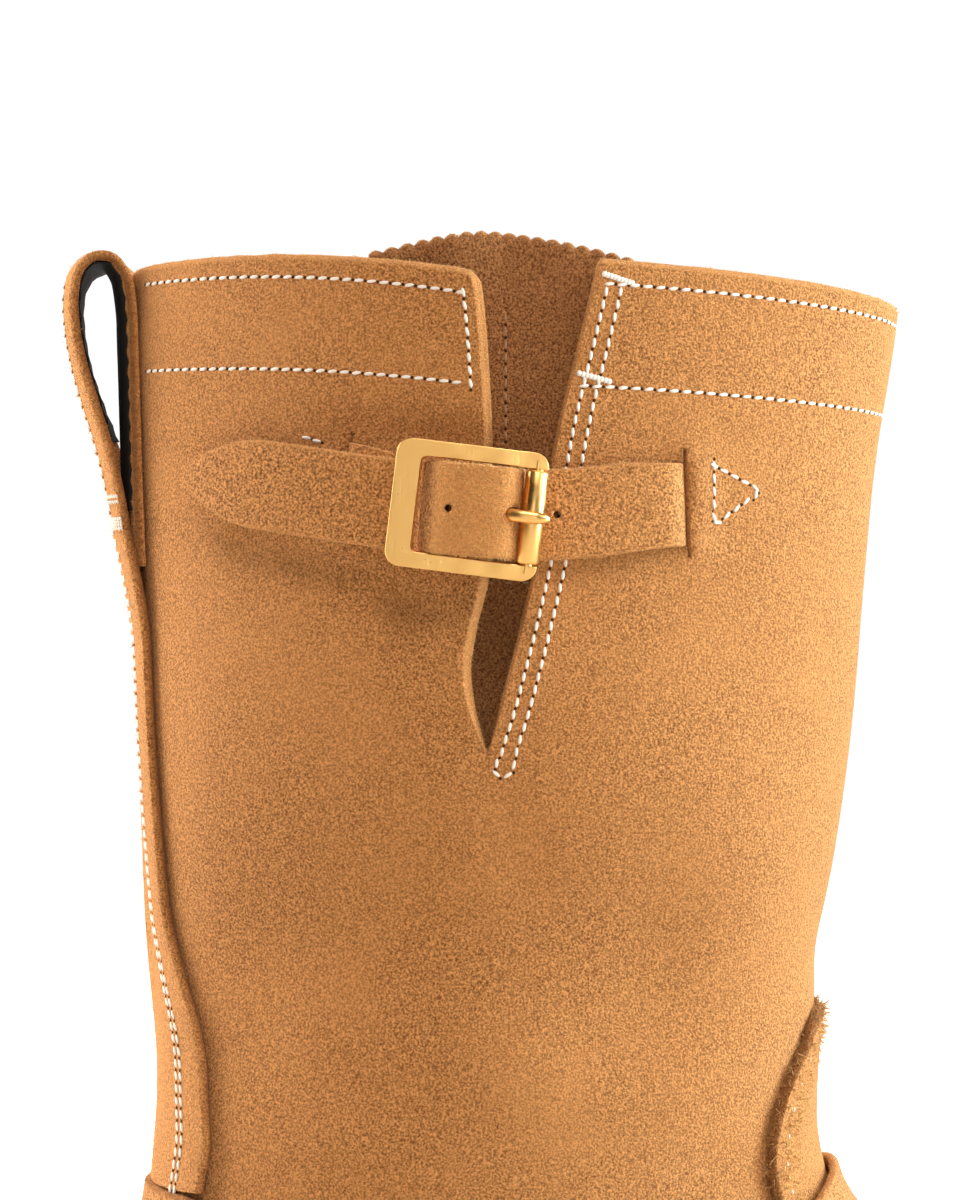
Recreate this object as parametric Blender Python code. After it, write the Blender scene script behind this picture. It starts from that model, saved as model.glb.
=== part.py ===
"""Engineer boot for the right foot, with a buckled strap at the collar and another over the instep.

Lengths are metres. The last frame has x from the heel's back to the toe, y to the wearer's left
(the inner, medial side) and z up from the floor. An empty carries everything from the last frame to
the middle of the boot's bounding box, at the floor.
"""

import math
from collections import namedtuple

import bmesh
import bpy
import numpy as np
from mathutils import Vector
from mathutils.bvhtree import BVHTree

# Driving dimensions
LAST_LENGTH = 0.288
CENTRE_X = 0.1410
CENTRE_Y = -0.0012
WALL = 0.0022
OVERLAY = 0.0023
COUNTER = 0.0034
SEAT = 0.0003
FULLNESS = 2.2
FOOT_FULL = 2.7
DROP = 0.006
TUCK_LONG, TUCK_WIDE = 0.9895, 0.955
EDGE_MARGIN = 1.01
MERGE = 1e-6
LATERAL, MEDIAL = -1.0, 1.0
SIDE_NAMES = {LATERAL: "lateral", MEDIAL: "medial"}

# Sole stack, from the feather line down
WELT = 0.0032
MIDSOLE = 0.0045
OUTSOLE = 0.0055
INSOLE = 0.0040
STACK = WELT + MIDSOLE + OUTSOLE + 3 * SEAT
INSOLE_RISE = 0.0008
TOP_LIFT = 0.0087
HEEL_BREAST = 0.082
LIFT_COUNT = 3
LIFT_GROOVE = 0.0006
GROOVE_SHARE = 0.12
HEEL_TAPER = 0.0018
HEEL_BACK = 0.0025
HEEL_POINT = 0.0040
HEEL_RADIUS = 0.0305
HEEL_TURNS = (0, 18, 36, 54, 72)
TOE_RADIUS = 0.066
TOE_SQUARENESS = 2.3
TOE_TURNS = (14, 30, 46, 60, 73, 82)
SIDE_STATIONS = (0.055, 0.082, 0.105, 0.135, 0.158, 0.178, 0.197, 0.216)
BREAST_CORNER = 0.004
WELT_UNDER = 0.0040
INSOLE_INSET = 0.0046

# Strap and buckle, sizes in the buckle's own frame
STRAP = 0.0022
STRAP_HALF = 0.0090
CHAPE_HALF = 0.0087
TAIL = 0.0013
CHAPE = 0.0014
FRAME_HALF_LONG = 0.0151
FRAME_HALF_TALL = 0.01275
FRAME_LEFT_BAR = 0.0050
FRAME_ARM = 0.0032
FRAME_LOW, FRAME_HIGH = 0.0051, 0.0073
FRAME_CORNER = 0.0030
BAR_SUNK = 0.5
ROD_SIDES, ROLLER_SIDES = 10, 14
CENTRE_BAR = (0.0, 0.0056, 0.0011)
ROLLER_BAR = (0.0130, 0.0062, 0.00115)
ROLLER_OUTER, ROLLER_INNER = 0.0023, 0.0015
PRONG_SIDES = 8
ProngPoint = namedtuple("ProngPoint", "along off radius")
PRONG_ARM = [
    ProngPoint(0.0019, 0.0064, 0.00099),
    ProngPoint(0.0052, 0.0080, 0.0009),
    ProngPoint(0.0090, 0.0092, 0.0009),
    ProngPoint(0.0130, 0.0097, 0.0009),
    ProngPoint(0.0153, 0.0092, 0.00054),
]
PRONG_RING = (0.0014, 0.0024)
PRONG_HALF = 0.0015
HoleBox = namedtuple("HoleBox", "along half off")
PRONG_HOLE = HoleBox((0.0008, 0.0082), 0.0016, (0.0030, 0.0125))
RING_SLOT = HoleBox((-0.0040, 0.0060), 0.0020, (0.0020, 0.0110))
BUCKLE_ROLL = math.radians(-5.0)

ShaftSection = namedtuple("ShaftSection", "name front_x front_z back_x back_z lateral medial crown full rows")
FootSection = namedtuple("FootSection", "name ridge_x ridge_z ridge_y sole_x lateral medial rows")

# Closed sections from above the collar down to the heel's back, each through a front and a back point.
# full is how square the section's back half is, and rows the number of mesh rows down to the next section.
SHAFT = [
    ShaftSection("above_collar", 0.1672, 0.3035, 0.0006, 0.3120, 0.0467, 0.0467, 0.0022, 1.75, 1),
    ShaftSection("collar", 0.1665, 0.2915, 0.0010, 0.3000, 0.0465, 0.0465, 0.0022, 1.75, 4),
    ShaftSection("strap", 0.1612, 0.2520, 0.0020, 0.2545, 0.0455, 0.0455, 0.0008, 1.75, 5),
    ShaftSection("slit_end", 0.1561, 0.1975, 0.0045, 0.2005, 0.0437, 0.0432, 0.0, 1.75, 2),
    ShaftSection("low_shaft", 0.1505, 0.1600, 0.0063, 0.1630, 0.0413, 0.0408, 0.0, 1.8, 2),
    ShaftSection("ankle", 0.1475, 0.1370, 0.0088, 0.1260, 0.0387, 0.0382, 0.0, 1.95, 1),
    ShaftSection("throat", 0.1470, 0.1200, 0.0080, 0.1080, 0.0377, 0.0371, 0.0, 2.1, 1),
    ShaftSection("counter_top", 0.1492, 0.1060, 0.0048, 0.0880, 0.0373, 0.0367, 0.0, 2.3, 1),
    ShaftSection("counter", 0.1545, 0.0960, 0.0006, 0.0660, 0.0372, 0.0366, 0.0, 2.5, 1),
    ShaftSection("heel_point", 0.1612, 0.0890, HEEL_POINT, 0.0415 - DROP, 0.0375, 0.0366, 0.0, 2.6, 1),
]

# Open sections from the heel's back to the toe, each from a point on the vamp's ridge to the sole.
# All of them run on past the sole's edge by DROP, and the sole trims them.
FOOT = [
    FootSection("seat_back", 0.1650, 0.0858, 0.0005, 0.0062, 0.0377, 0.0366, 1),
    FootSection("seat", 0.1695, 0.0830, 0.0010, 0.0155, 0.0380, 0.0366, 1),
    FootSection("seat_front", 0.1752, 0.0800, 0.0015, 0.0340, 0.0384, 0.0364, 1),
    FootSection("breast", 0.1822, 0.0768, 0.0020, 0.0620, 0.0392, 0.0364, 1),
    FootSection("waist", 0.1910, 0.0736, 0.0024, 0.1000, 0.0415, 0.0375, 1),
    FootSection("arch", 0.2020, 0.0702, 0.0026, 0.1400, 0.0458, 0.0412, 1),
    FootSection("ball_back", 0.2150, 0.0666, 0.0027, 0.1750, 0.0492, 0.0455, 1),
    FootSection("ball", 0.2290, 0.0630, 0.0025, 0.2060, 0.0500, 0.0480, 1),
    FootSection("toe_joint", 0.2430, 0.0608, 0.0022, 0.2310, 0.0476, 0.0480, 1),
    FootSection("toe_box", 0.2565, 0.0585, 0.0018, 0.2510, 0.0425, 0.0440, 1),
    FootSection("toe_crest", 0.2694, 0.0550, 0.0013, 0.2670, 0.0350, 0.0368, 1),
    FootSection("toe_turn", 0.2796, 0.0492, 0.0008, 0.2782, 0.0260, 0.0275, 1),
    FootSection("toe_face", 0.2858, 0.0408, 0.0004, 0.2848, 0.0166, 0.0176, 1),
    FootSection("toe_foot", 0.2882, 0.0305, 0.0002, 0.2873, 0.0086, 0.0090, 1),
    FootSection("toe_tip", 0.2865, 0.0204, 0.0000, 0.2880, 0.0000, 0.0000, 0),
]
COLLAR_ROW = 1
SLIT_ROW = 3
ANKLE_ROW = 5
HEEL_ROW = len(SHAFT) - 1
COUNTER_ROW = HEEL_ROW + 6
LAST_ROW = len(SHAFT) + len(FOOT) - 1
COLUMNS = {"behind_slit": 8, "before_slit": 8, "medial": 16}
FINE_COLUMNS = {"behind_slit": 40, "before_slit": 40, "medial": 80}
FINE_FACTOR = 6

# Half-widths of the last's underside before its ends are rounded, and the height of its edge
Station = namedtuple("Station", "x lateral medial")
UNDERSIDE = [
    Station(0.000, 0.0310, 0.0310),
    Station(0.030, 0.0312, 0.0310),
    Station(0.060, 0.0325, 0.0308),
    Station(0.095, 0.0345, 0.0285),
    Station(0.130, 0.0395, 0.0285),
    Station(0.160, 0.0450, 0.0340),
    Station(0.185, 0.0485, 0.0420),
    Station(0.210, 0.0485, 0.0465),
    Station(0.235, 0.0460, 0.0465),
    Station(0.260, 0.0430, 0.0450),
    Station(0.288, 0.0400, 0.0430),
]
Height = namedtuple("Height", "x z")
FEATHER = [
    Height(0.000, 0.0415),
    Height(0.040, 0.0405),
    Height(0.075, 0.0390),
    Height(0.105, 0.0330),
    Height(0.135, 0.0235),
    Height(0.158, 0.0168),
    Height(0.178, STACK),
    Height(0.216, STACK),
    Height(0.242, 0.0162),
    Height(0.266, 0.0206),
    Height(0.288, 0.0268),
    Height(0.300, 0.0302),
]
WELT_REACH = [Height(0.000, 0.0050), Height(0.085, 0.0046), Height(0.135, 0.0050), Height(0.185, 0.0070),
              Height(0.288, 0.0078)]

# The slit's two edges on the lateral side, and the edges of the overlays, all seen from the side
Slit = namedtuple("Slit", "z left_x right_x")
SLIT = [
    Slit(0.1990, 0.0780, 0.0780),
    Slit(0.2060, 0.0761, 0.0803),
    Slit(0.2160, 0.0746, 0.0830),
    Slit(0.2240, 0.0757, 0.0850),
    Slit(0.2380, 0.0786, 0.0882),
    Slit(0.2640, 0.0788, 0.0925),
    Slit(0.2820, 0.0780, 0.0968),
    Slit(0.2990, 0.0765, 0.1008),
]
PANEL_DROP = 0.0037
PANEL_REACH = 0.055
VAMP_EDGE = [(0.1600, 0.1425), (0.1478, 0.1418), (0.1440, 0.1352), (0.1388, 0.1245), (0.1366, 0.1130),
             (0.1380, 0.1030), (0.1355, 0.0880), (0.1280, 0.0710), (0.1160, 0.0540), (0.1050, 0.0420),
             (0.1020, 0.0378)]
COUNTER_EDGE = [(-0.0200, 0.1045), (0.0120, 0.1040), (0.0330, 0.0985), (0.0560, 0.0850), (0.0740, 0.0670),
                (0.0850, 0.0500), (0.0900, 0.0380)]
OVERLAY_RISE = 0.0006
VAMP_FOOT, COUNTER_FOOT = 0.1000, 0.0905
EDGE_STEPS = 12
PAST_SIDES = (-0.2, 0.2)
PAST_BACK = (-0.03, 0.06)
PAST_TOE = 0.34
StayWidth = namedtuple("StayWidth", "z half")
STAY = [StayWidth(0.1052, 0.0222), StayWidth(0.1130, 0.0222), StayWidth(0.1240, 0.0205),
        StayWidth(0.1390, 0.0178), StayWidth(0.1520, 0.0138), StayWidth(0.1650, 0.0108),
        StayWidth(0.2000, 0.0104), StayWidth(0.2352, 0.0104)]

# The pull loop's middle line behind the shaft, with how far its two edges curl round the shaft
LoopPoint = namedtuple("LoopPoint", "x z lateral medial")
LOOP = [
    LoopPoint(0.00095, 0.2372, 0.0036, 0.0036),
    LoopPoint(0.00035, 0.2520, 0.0036, 0.0036),
    LoopPoint(-0.00015, 0.2680, 0.0036, 0.0036),
    LoopPoint(-0.00065, 0.2840, 0.0036, 0.0036),
    LoopPoint(-0.00115, 0.2940, 0.0036, 0.0036),
    LoopPoint(-0.0024, 0.3000, 0.0034, 0.0032),
    LoopPoint(-0.0050, 0.3034, 0.0030, 0.0024),
    LoopPoint(-0.0085, 0.3034, 0.0028, 0.0016),
    LoopPoint(-0.0116, 0.3006, 0.0030, 0.0008),
    LoopPoint(-0.0129, 0.2955, 0.0031, 0.0004),
    LoopPoint(-0.0127, 0.2890, 0.0031, 0.0004),
    LoopPoint(-0.0114, 0.2810, 0.0033, 0.0006),
    LoopPoint(-0.0091, 0.2725, 0.0036, 0.0012),
    LoopPoint(-0.0061, 0.2630, 0.0036, 0.0022),
    LoopPoint(-0.0038, 0.2535, 0.0036, 0.0032),
    LoopPoint(-0.0024, 0.2450, 0.0036, 0.0036),
    LoopPoint(-0.0019, 0.2372, 0.0036, 0.0036),
]
LOOP_HALF = 0.0105
LOOP_THICK = 0.0021
LOOP_POINTS = 26
LOOP_ACROSS = 4
LOOP_LOOK_SHARE = 1 / 400

# The bellows gusset behind the slit: its outline by height, and its depth into the shaft
Gusset = namedtuple("Gusset", "z left_x right_x")
GUSSET = [Gusset(0.1900, 0.0690, 0.0880), Gusset(0.2100, 0.0640, 0.0940), Gusset(0.2450, 0.0580, 0.1030),
          Gusset(0.2800, 0.0545, 0.1090), Gusset(0.2985, 0.0535, 0.1120)]
GUSSET_THICK = 0.0015
GUSSET_DEPTH = 0.0045
GUSSET_SEAT = 0.0005
GUSSET_ARCH = 0.0036
GUSSET_CELLS = (8, 9)

# Top strap: height of its middle line along the shaft, and the billet's and chape's paths past the buckle.
# along is measured from the buckle towards the toe, off outwards from the shaft.
TOP_BUCKLE_X = 0.0745
LINE_STEP = 0.002
TOP_BILLET_LINE = [
    Height(0.0150, 0.2566),
    Height(0.0405, 0.2523),
    Height(0.0595, 0.2493),
    Height(0.0745, 0.2480),
    Height(0.0875, 0.2469),
    Height(0.0960, 0.2473),
    Height(0.1080, 0.2487),
    Height(0.1400, 0.2500),
]
TOP_CHAPE_LINE = [
    Height(0.0300, 0.2560),
    Height(0.0510, 0.2528),
    Height(0.0640, 0.2490),
    Height(0.0745, 0.2480),
    Height(0.0850, 0.2471),
]
PathPoint = namedtuple("PathPoint", "along off thick half")
TOP_BILLET = [
    PathPoint(0.0580, -0.0033, TAIL, STRAP_HALF),
    PathPoint(0.0445, -0.0033, TAIL, STRAP_HALF),
    PathPoint(0.0424, -0.0022, TAIL, STRAP_HALF),
    PathPoint(0.0402, 0.0006, TAIL, STRAP_HALF),
    PathPoint(0.0372, 0.0016, STRAP, STRAP_HALF),
    PathPoint(0.0280, 0.0018, STRAP, STRAP_HALF),
    PathPoint(0.0190, 0.0018, STRAP, STRAP_HALF),
    PathPoint(0.0126, 0.0020, STRAP, STRAP_HALF),
    PathPoint(0.0085, 0.0040, STRAP, STRAP_HALF),
    PathPoint(0.0045, 0.0080, STRAP, STRAP_HALF),
    PathPoint(0.0010, 0.0097, STRAP, STRAP_HALF),
    PathPoint(-0.0030, 0.0095, STRAP, STRAP_HALF),
    PathPoint(-0.0062, 0.0069, STRAP, STRAP_HALF),
    PathPoint(-0.0085, 0.0044, STRAP, STRAP_HALF),
    PathPoint(-0.0099, 0.0036, STRAP, STRAP_HALF),
    PathPoint(-0.0150, 0.0034, STRAP, STRAP_HALF),
    PathPoint(-0.0320, 0.0037, STRAP, STRAP_HALF),
    PathPoint(-0.0440, 0.0034, STRAP, STRAP_HALF),
    PathPoint(-0.0500, 0.0031, STRAP, 0.0076),
    PathPoint(-0.0540, 0.0029, STRAP, 0.0048),
    PathPoint(-0.0560, 0.0028, STRAP, 0.0018),
]
CHAPE_FOLD = [
    PathPoint(-0.0125, 0.0011, CHAPE, CHAPE_HALF),
    PathPoint(-0.0065, 0.0018, CHAPE, CHAPE_HALF),
    PathPoint(-0.0025, 0.0030, CHAPE, CHAPE_HALF),
    PathPoint(0.0004, 0.00358, CHAPE, CHAPE_HALF),
    PathPoint(0.0016, 0.00430, CHAPE, CHAPE_HALF),
    PathPoint(0.00206, 0.0056, CHAPE, CHAPE_HALF),
    PathPoint(0.0016, 0.00690, CHAPE, CHAPE_HALF),
    PathPoint(0.0004, 0.00762, CHAPE, CHAPE_HALF),
    PathPoint(-0.0025, 0.0069, CHAPE, CHAPE_HALF),
    PathPoint(-0.0052, 0.0050, CHAPE, CHAPE_HALF),
]
TOP_CHAPE = [
    PathPoint(-0.0400, -0.0033, TAIL, CHAPE_HALF),
    PathPoint(-0.0270, -0.0033, TAIL, CHAPE_HALF),
    PathPoint(-0.0249, -0.0022, TAIL, CHAPE_HALF),
    PathPoint(-0.0227, 0.0006, TAIL, CHAPE_HALF),
    PathPoint(-0.0200, 0.0011, CHAPE, CHAPE_HALF),
    *CHAPE_FOLD,
]
SLOT_LONG, SLOT_TALL = 0.0054, 0.0192
BILLET_SLOT, CHAPE_SLOT = 0.0414, -0.0239

# Instep strap: it circles the instep in a plane that rises to the front
INSTEP_CENTRE = Vector((0.1087, 0.0, 0.0551))
INSTEP_RISE = math.radians(45.0)
INSTEP_BUCKLE = math.radians(36.0)
INSTEP_SEAT, INSTEP_FLAT_SEAT = 0.0030, 0.0038
INSTEP_FROM, INSTEP_TO = math.radians(-24.0), math.radians(204.0)
INSTEP_ANGLES = 140
INSTEP_TIP = [
    PathPoint(-0.0105, 0.0035, STRAP, STRAP_HALF),
    PathPoint(-0.0150, 0.0035, STRAP, STRAP_HALF),
    PathPoint(-0.0225, 0.0036, STRAP, STRAP_HALF),
    PathPoint(-0.0285, 0.0038, STRAP, 0.0076),
    PathPoint(-0.0322, 0.0038, STRAP, 0.0048),
    PathPoint(-0.0340, 0.0038, STRAP, 0.0018),
]
INSTEP_CHAPE_ANCHOR = [
    PathPoint(-0.0310, 0.0011, CHAPE, CHAPE_HALF),
    PathPoint(-0.0200, 0.0011, CHAPE, CHAPE_HALF),
]
INSTEP_BILLET_LENGTH = 0.140
INSTEP_BILLET_STEP = 0.0075
INSTEP_BILLET_FROM, INSTEP_BILLET_OFF = 0.0270, 0.0014
INSTEP_LOOK = 0.05
INSTEP_FLAT, INSTEP_LAID = 0.0180, 0.0300
PAST_ROLLER = (-0.0090, 0.0200)


def monotone(knots, values, at):
    """A smooth curve through the values that never overshoots them and stays flat where they are flat."""
    knots, values = np.asarray(knots, float), np.asarray(values, float)
    gaps = np.diff(knots)
    rises = np.diff(values) / gaps
    slopes = np.zeros(len(values))
    slopes[0], slopes[-1] = rises[0], rises[-1]
    for i in range(1, len(rises)):
        before, after = rises[i - 1], rises[i]
        if before * after > 0:
            near, far = 2 * gaps[i] + gaps[i - 1], gaps[i] + 2 * gaps[i - 1]
            slopes[i] = (near + far) / (near / before + far / after)
    i = int(np.clip(np.searchsorted(knots, at, side="right") - 1, 0, len(gaps) - 1))
    t = (min(max(at, knots[0]), knots[-1]) - knots[i]) / gaps[i]
    return ((1 + 2 * t) * (1 - t) ** 2 * values[i] + t * (1 - t) ** 2 * gaps[i] * slopes[i]
            + t * t * (3 - 2 * t) * values[i + 1] + t * t * (t - 1) * gaps[i] * slopes[i + 1])


def column(table, knot, name, at):
    """A table's column read at a place between its rows."""
    return monotone([getattr(row, knot) for row in table], [getattr(row, name) for row in table], at)


def feather_z(x):
    """Height of the last's lower edge."""
    return column(FEATHER, "x", "z", x)


def underside_half(x, side):
    """Half-width of the last's underside, with a round heel and a round toe."""
    half = column(UNDERSIDE, "x", SIDE_NAMES[side], x)
    if x < HEEL_BACK + HEEL_RADIUS:
        half *= math.sqrt(max(0.0, 1 - (1 - (x - HEEL_BACK) / HEEL_RADIUS) ** 2))
    if x > LAST_LENGTH - TOE_RADIUS:
        reach = min(1.0, (x - LAST_LENGTH + TOE_RADIUS) / TOE_RADIUS)
        half *= (1 - reach**TOE_SQUARENESS) ** (1 / TOE_SQUARENESS)
    return half


def signed_power(value, power):
    return math.copysign(abs(value) ** power, value)


def both_tables(shaft, foot, row):
    """A column of the shaft's table, carried on by one of the foot's."""
    values = [getattr(r, shaft) for r in SHAFT] + [getattr(r, foot) for r in FOOT]
    return monotone(range(LAST_ROW + 1), values, row)


class Section:
    """One cut through the upper, from its front or ridge point to the back seam or the sole."""

    def __init__(self, row):
        self.row = row
        rows = range(LAST_ROW + 1)
        front_x, front_z = both_tables("front_x", "ridge_x", row), both_tables("front_z", "ridge_z", row)
        self.front = Vector((front_x, 0, front_z))
        self.half = {side: both_tables(name, name, row) for side, name in SIDE_NAMES.items()}
        self.ridge_y = monotone(rows, [0.0] * len(SHAFT) + [r.ridge_y for r in FOOT], row)
        self.crown = monotone(rows, [r.crown for r in SHAFT] + [0.0] * len(FOOT), row)
        self.back_full = monotone(rows, [r.full for r in SHAFT] + [FOOT_FULL] * len(FOOT), row)
        if row <= HEEL_ROW:
            shaft_rows = range(HEEL_ROW + 1)
            back_x = monotone(shaft_rows, [r.back_x for r in SHAFT], row)
            back_z = monotone(shaft_rows, [r.back_z for r in SHAFT], row)
            self.end = Vector((back_x, 0, back_z))
            self.edge = {LATERAL: 0.0, MEDIAL: 0.0}
        else:
            foot_rows = range(HEEL_ROW, LAST_ROW + 1)
            sole_x = monotone(foot_rows, [HEEL_BACK] + [r.sole_x for r in FOOT], row)
            middle = (HEEL_BACK + LAST_LENGTH) / 2
            tucked = middle + TUCK_LONG * (sole_x - middle)
            self.end = Vector((tucked, 0, feather_z(tucked) - DROP))
            self.edge = {side: TUCK_WIDE * underside_half(sole_x, side) for side in (LATERAL, MEDIAL)}
        for side in (LATERAL, MEDIAL):
            self.half[side] = max(self.half[side], EDGE_MARGIN * self.edge[side])

    def last_angle(self, side):
        """Angle round the section at which it meets the back seam or the sole's edge."""
        share = self.edge[side] / self.half[side] if self.half[side] > 0 else 0.0
        return math.pi - math.asin(min(1.0, share ** (self.back_full / 2)))

    def depth(self, angle):
        """How far back from the front an angle lies, with 1 at the widest place."""
        full = FULLNESS if angle < math.pi / 2 else self.back_full
        return 1 - signed_power(math.cos(angle), 2 / full)

    def point(self, angle, side):
        """A point of the skin, at an angle from the front."""
        share = self.depth(angle) / self.depth(self.last_angle(side))
        full = FULLNESS if angle < math.pi / 2 else self.back_full
        lift = self.crown * math.sin(angle) ** 2
        y = self.ridge_y * (1 - share) + side * self.half[side] * abs(math.sin(angle)) ** (2 / full)
        return self.front.lerp(self.end, share) + Vector((0, y, lift))

    def angle_at(self, x, side):
        """The angle whose point lies at x, for a section of the shaft."""
        share = (self.front.x - x) / (self.front.x - self.end.x)
        depth = share * self.depth(self.last_angle(side))
        full = FULLNESS if depth < 1 else self.back_full
        return math.acos(max(-1.0, min(1.0, signed_power(1 - depth, full / 2))))


def slit_angles(section):
    """Angles of the slit's left and right edges. Below the slit both are one line down the boot."""
    if section.row > ANKLE_ROW:
        ankle = Section(ANKLE_ROW)
        share = ankle.angle_at(SLIT[0].left_x, LATERAL) / ankle.last_angle(LATERAL)
        angle = share * section.last_angle(LATERAL)
        return angle, angle
    middle = section.point(section.angle_at(SLIT[0].left_x, LATERAL), LATERAL)
    if section.row >= SLIT_ROW:
        left, right = SLIT[0].left_x, SLIT[0].right_x
    else:
        left, right = column(SLIT, "z", "left_x", middle.z), column(SLIT, "z", "right_x", middle.z)
    return section.angle_at(left, LATERAL), section.angle_at(right, LATERAL)


def panel_drop(point, edge_x):
    """How far the strap pulls down the rear panel's corner beside the slit."""
    near = max(0.0, 1 - (edge_x - point.x) / PANEL_REACH)
    high = max(0.0, (point.z - SLIT[0].z) / (SLIT[-1].z - SLIT[0].z))
    return PANEL_DROP * near**2 * high**2


def skin_rows(first, last, factor):
    """Row numbers of the mesh, from one section of the tables to another."""
    tables = SHAFT + FOOT
    rows = []
    for i in range(first, last):
        steps = tables[i].rows * factor
        rows += [i + k / steps for k in range(steps)]
    return rows + [last]


def skin_strips(row, columns, slit):
    """The points round one section: behind the slit, and from the slit round the front to the inner side."""
    section = Section(row)
    left, right = slit_angles(section)
    if not slit:
        left = right = (left + right) / 2
    last = {side: section.last_angle(side) for side in (LATERAL, MEDIAL)}
    behind = [section.point(a, LATERAL) for a in np.linspace(last[LATERAL], left, columns["behind_slit"] + 1)]
    before = [section.point(a, LATERAL) for a in np.linspace(right, 0, columns["before_slit"] + 1)]
    inner = [section.point(a, MEDIAL) for a in np.linspace(0, last[MEDIAL], columns["medial"] + 1)]
    if slit and row < SLIT_ROW:
        edge_x = behind[-1].x
        behind = [p - Vector((0, 0, panel_drop(p, edge_x))) for p in behind]
    return behind, before + inner[1:]


def upper_skin(first, last, columns=COLUMNS, factor=1, slit=True):
    """The upper's outer face as an open mesh. Its triangles all lean one way, so that layers on it nest."""
    skin = bmesh.new()
    strips = [skin_strips(row, columns, slit) for row in skin_rows(first, last, factor)]
    for part in (0, 1):
        grid = [[skin.verts.new(p) for p in strip[part]] for strip in strips]
        for above, below in zip(grid, grid[1:]):
            for j in range(len(above) - 1):
                skin.faces.new((above[j], below[j], below[j + 1]))
                skin.faces.new((above[j], below[j + 1], above[j + 1]))
    bmesh.ops.remove_doubles(skin, verts=skin.verts, dist=MERGE)
    skin.normal_update()
    return skin


def srgb(text):
    """Linear colour of an sRGB hex value."""
    parts = [int(text[i : i + 2], 16) / 255 for i in (0, 2, 4)]
    return [c / 12.92 if c <= 0.04045 else ((c + 0.055) / 1.055) ** 2.4 for c in parts]


def material(name, colour, roughness, metallic=0.0):
    made = bpy.data.materials.new(name)
    made.use_nodes = True
    shader = made.node_tree.nodes["Principled BSDF"]
    shader.inputs["Base Color"].default_value = (*srgb(colour), 1.0)
    shader.inputs["Roughness"].default_value = roughness
    shader.inputs["Metallic"].default_value = metallic
    return made


def add_object(name, mesh_data, finish):
    """A named object on the boot's empty. A helper has no finish, and is not part of the boot."""
    made = bpy.data.objects.new(name, mesh_data)
    bpy.context.scene.collection.objects.link(made)
    made.parent = bpy.data.objects["boot"]
    if finish is None:
        made.hide_render = True
        made.display_type = "WIRE"
    else:
        mesh_data.materials.append(finish)
        mesh_data.shade_smooth()
        mesh_data.set_sharp_from_angle(angle=math.radians(35))
    return made


def solid(name, points, faces, finish):
    mesh_data = bpy.data.meshes.new(name)
    mesh_data.from_pydata([tuple(p) for p in points], [], faces)
    return add_object(name, mesh_data, finish)


def facing_out(made):
    """Turns a closed object's faces outwards."""
    turned = bmesh.new()
    turned.from_mesh(made.data)
    bmesh.ops.recalc_face_normals(turned, faces=turned.faces)
    turned.to_mesh(made.data)
    turned.free()
    return made


def walled(name, skin, inner, outer, finish):
    """A closed wall between two offsets of an open skin."""
    points = [v.co + v.normal * outer for v in skin.verts] + [v.co + v.normal * inner for v in skin.verts]
    skin.verts.index_update()
    count = len(skin.verts)
    faces = []
    for face in skin.faces:
        ring = [v.index for v in face.verts]
        faces += [ring, [count + i for i in reversed(ring)]]
    for edge in skin.edges:
        if edge.is_boundary:
            loop = edge.link_loops[0]
            a, b = loop.vert.index, loop.link_loop_next.vert.index
            faces.append((b, a, count + a, count + b))
    return solid(name, points, faces, finish)


def prism(name, outline, across, reach):
    """A helper solid with a side-view (x, z) or end-view (y, z) outline, drawn out along the other axis."""
    count = len(outline)
    points = [(p[0], d, p[1]) if across == "Y" else (d, p[0], p[1]) for d in reach for p in outline]
    faces = [list(range(count)), list(range(2 * count - 1, count - 1, -1))]
    faces += [(i, (i + 1) % count, count + (i + 1) % count, count + i) for i in range(count)]
    return facing_out(solid(name, points, faces, None))


def cut(target, cutter, operation):
    """A Boolean that stays on the target."""
    change = target.modifiers.new(cutter.name, "BOOLEAN")
    change.operation = operation
    change.solver = "EXACT"
    change.use_self = True
    change.object = cutter


def overlay(name, rows, offsets, outline, across, reach, finish):
    """A piece lying on the upper: the layer between two offsets of its skin, trimmed to an outline."""
    skin = upper_skin(*rows, slit=False)
    made = walled(name, skin, *offsets, finish)
    skin.free()
    cut(made, prism(name + "_outline", outline, across, reach), "INTERSECT")
    return made


def welt_line(from_x, to_x):
    """Points just above the welt, for the lower edge of an overlay."""
    return [(x, feather_z(x) + OVERLAY_RISE) for x in np.linspace(from_x, to_x, EDGE_STEPS)]


def make_upper(finish):
    skin = upper_skin(COLLAR_ROW, LAST_ROW)
    upper = walled("upper", skin, -WALL, 0.0, finish)
    skin.free()
    room = plate("sole_room", outline_loop(welt_reach), feather_z, lambda x: feather_z(x) - STACK, None)
    cut(upper, room, "DIFFERENCE")
    return upper


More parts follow.
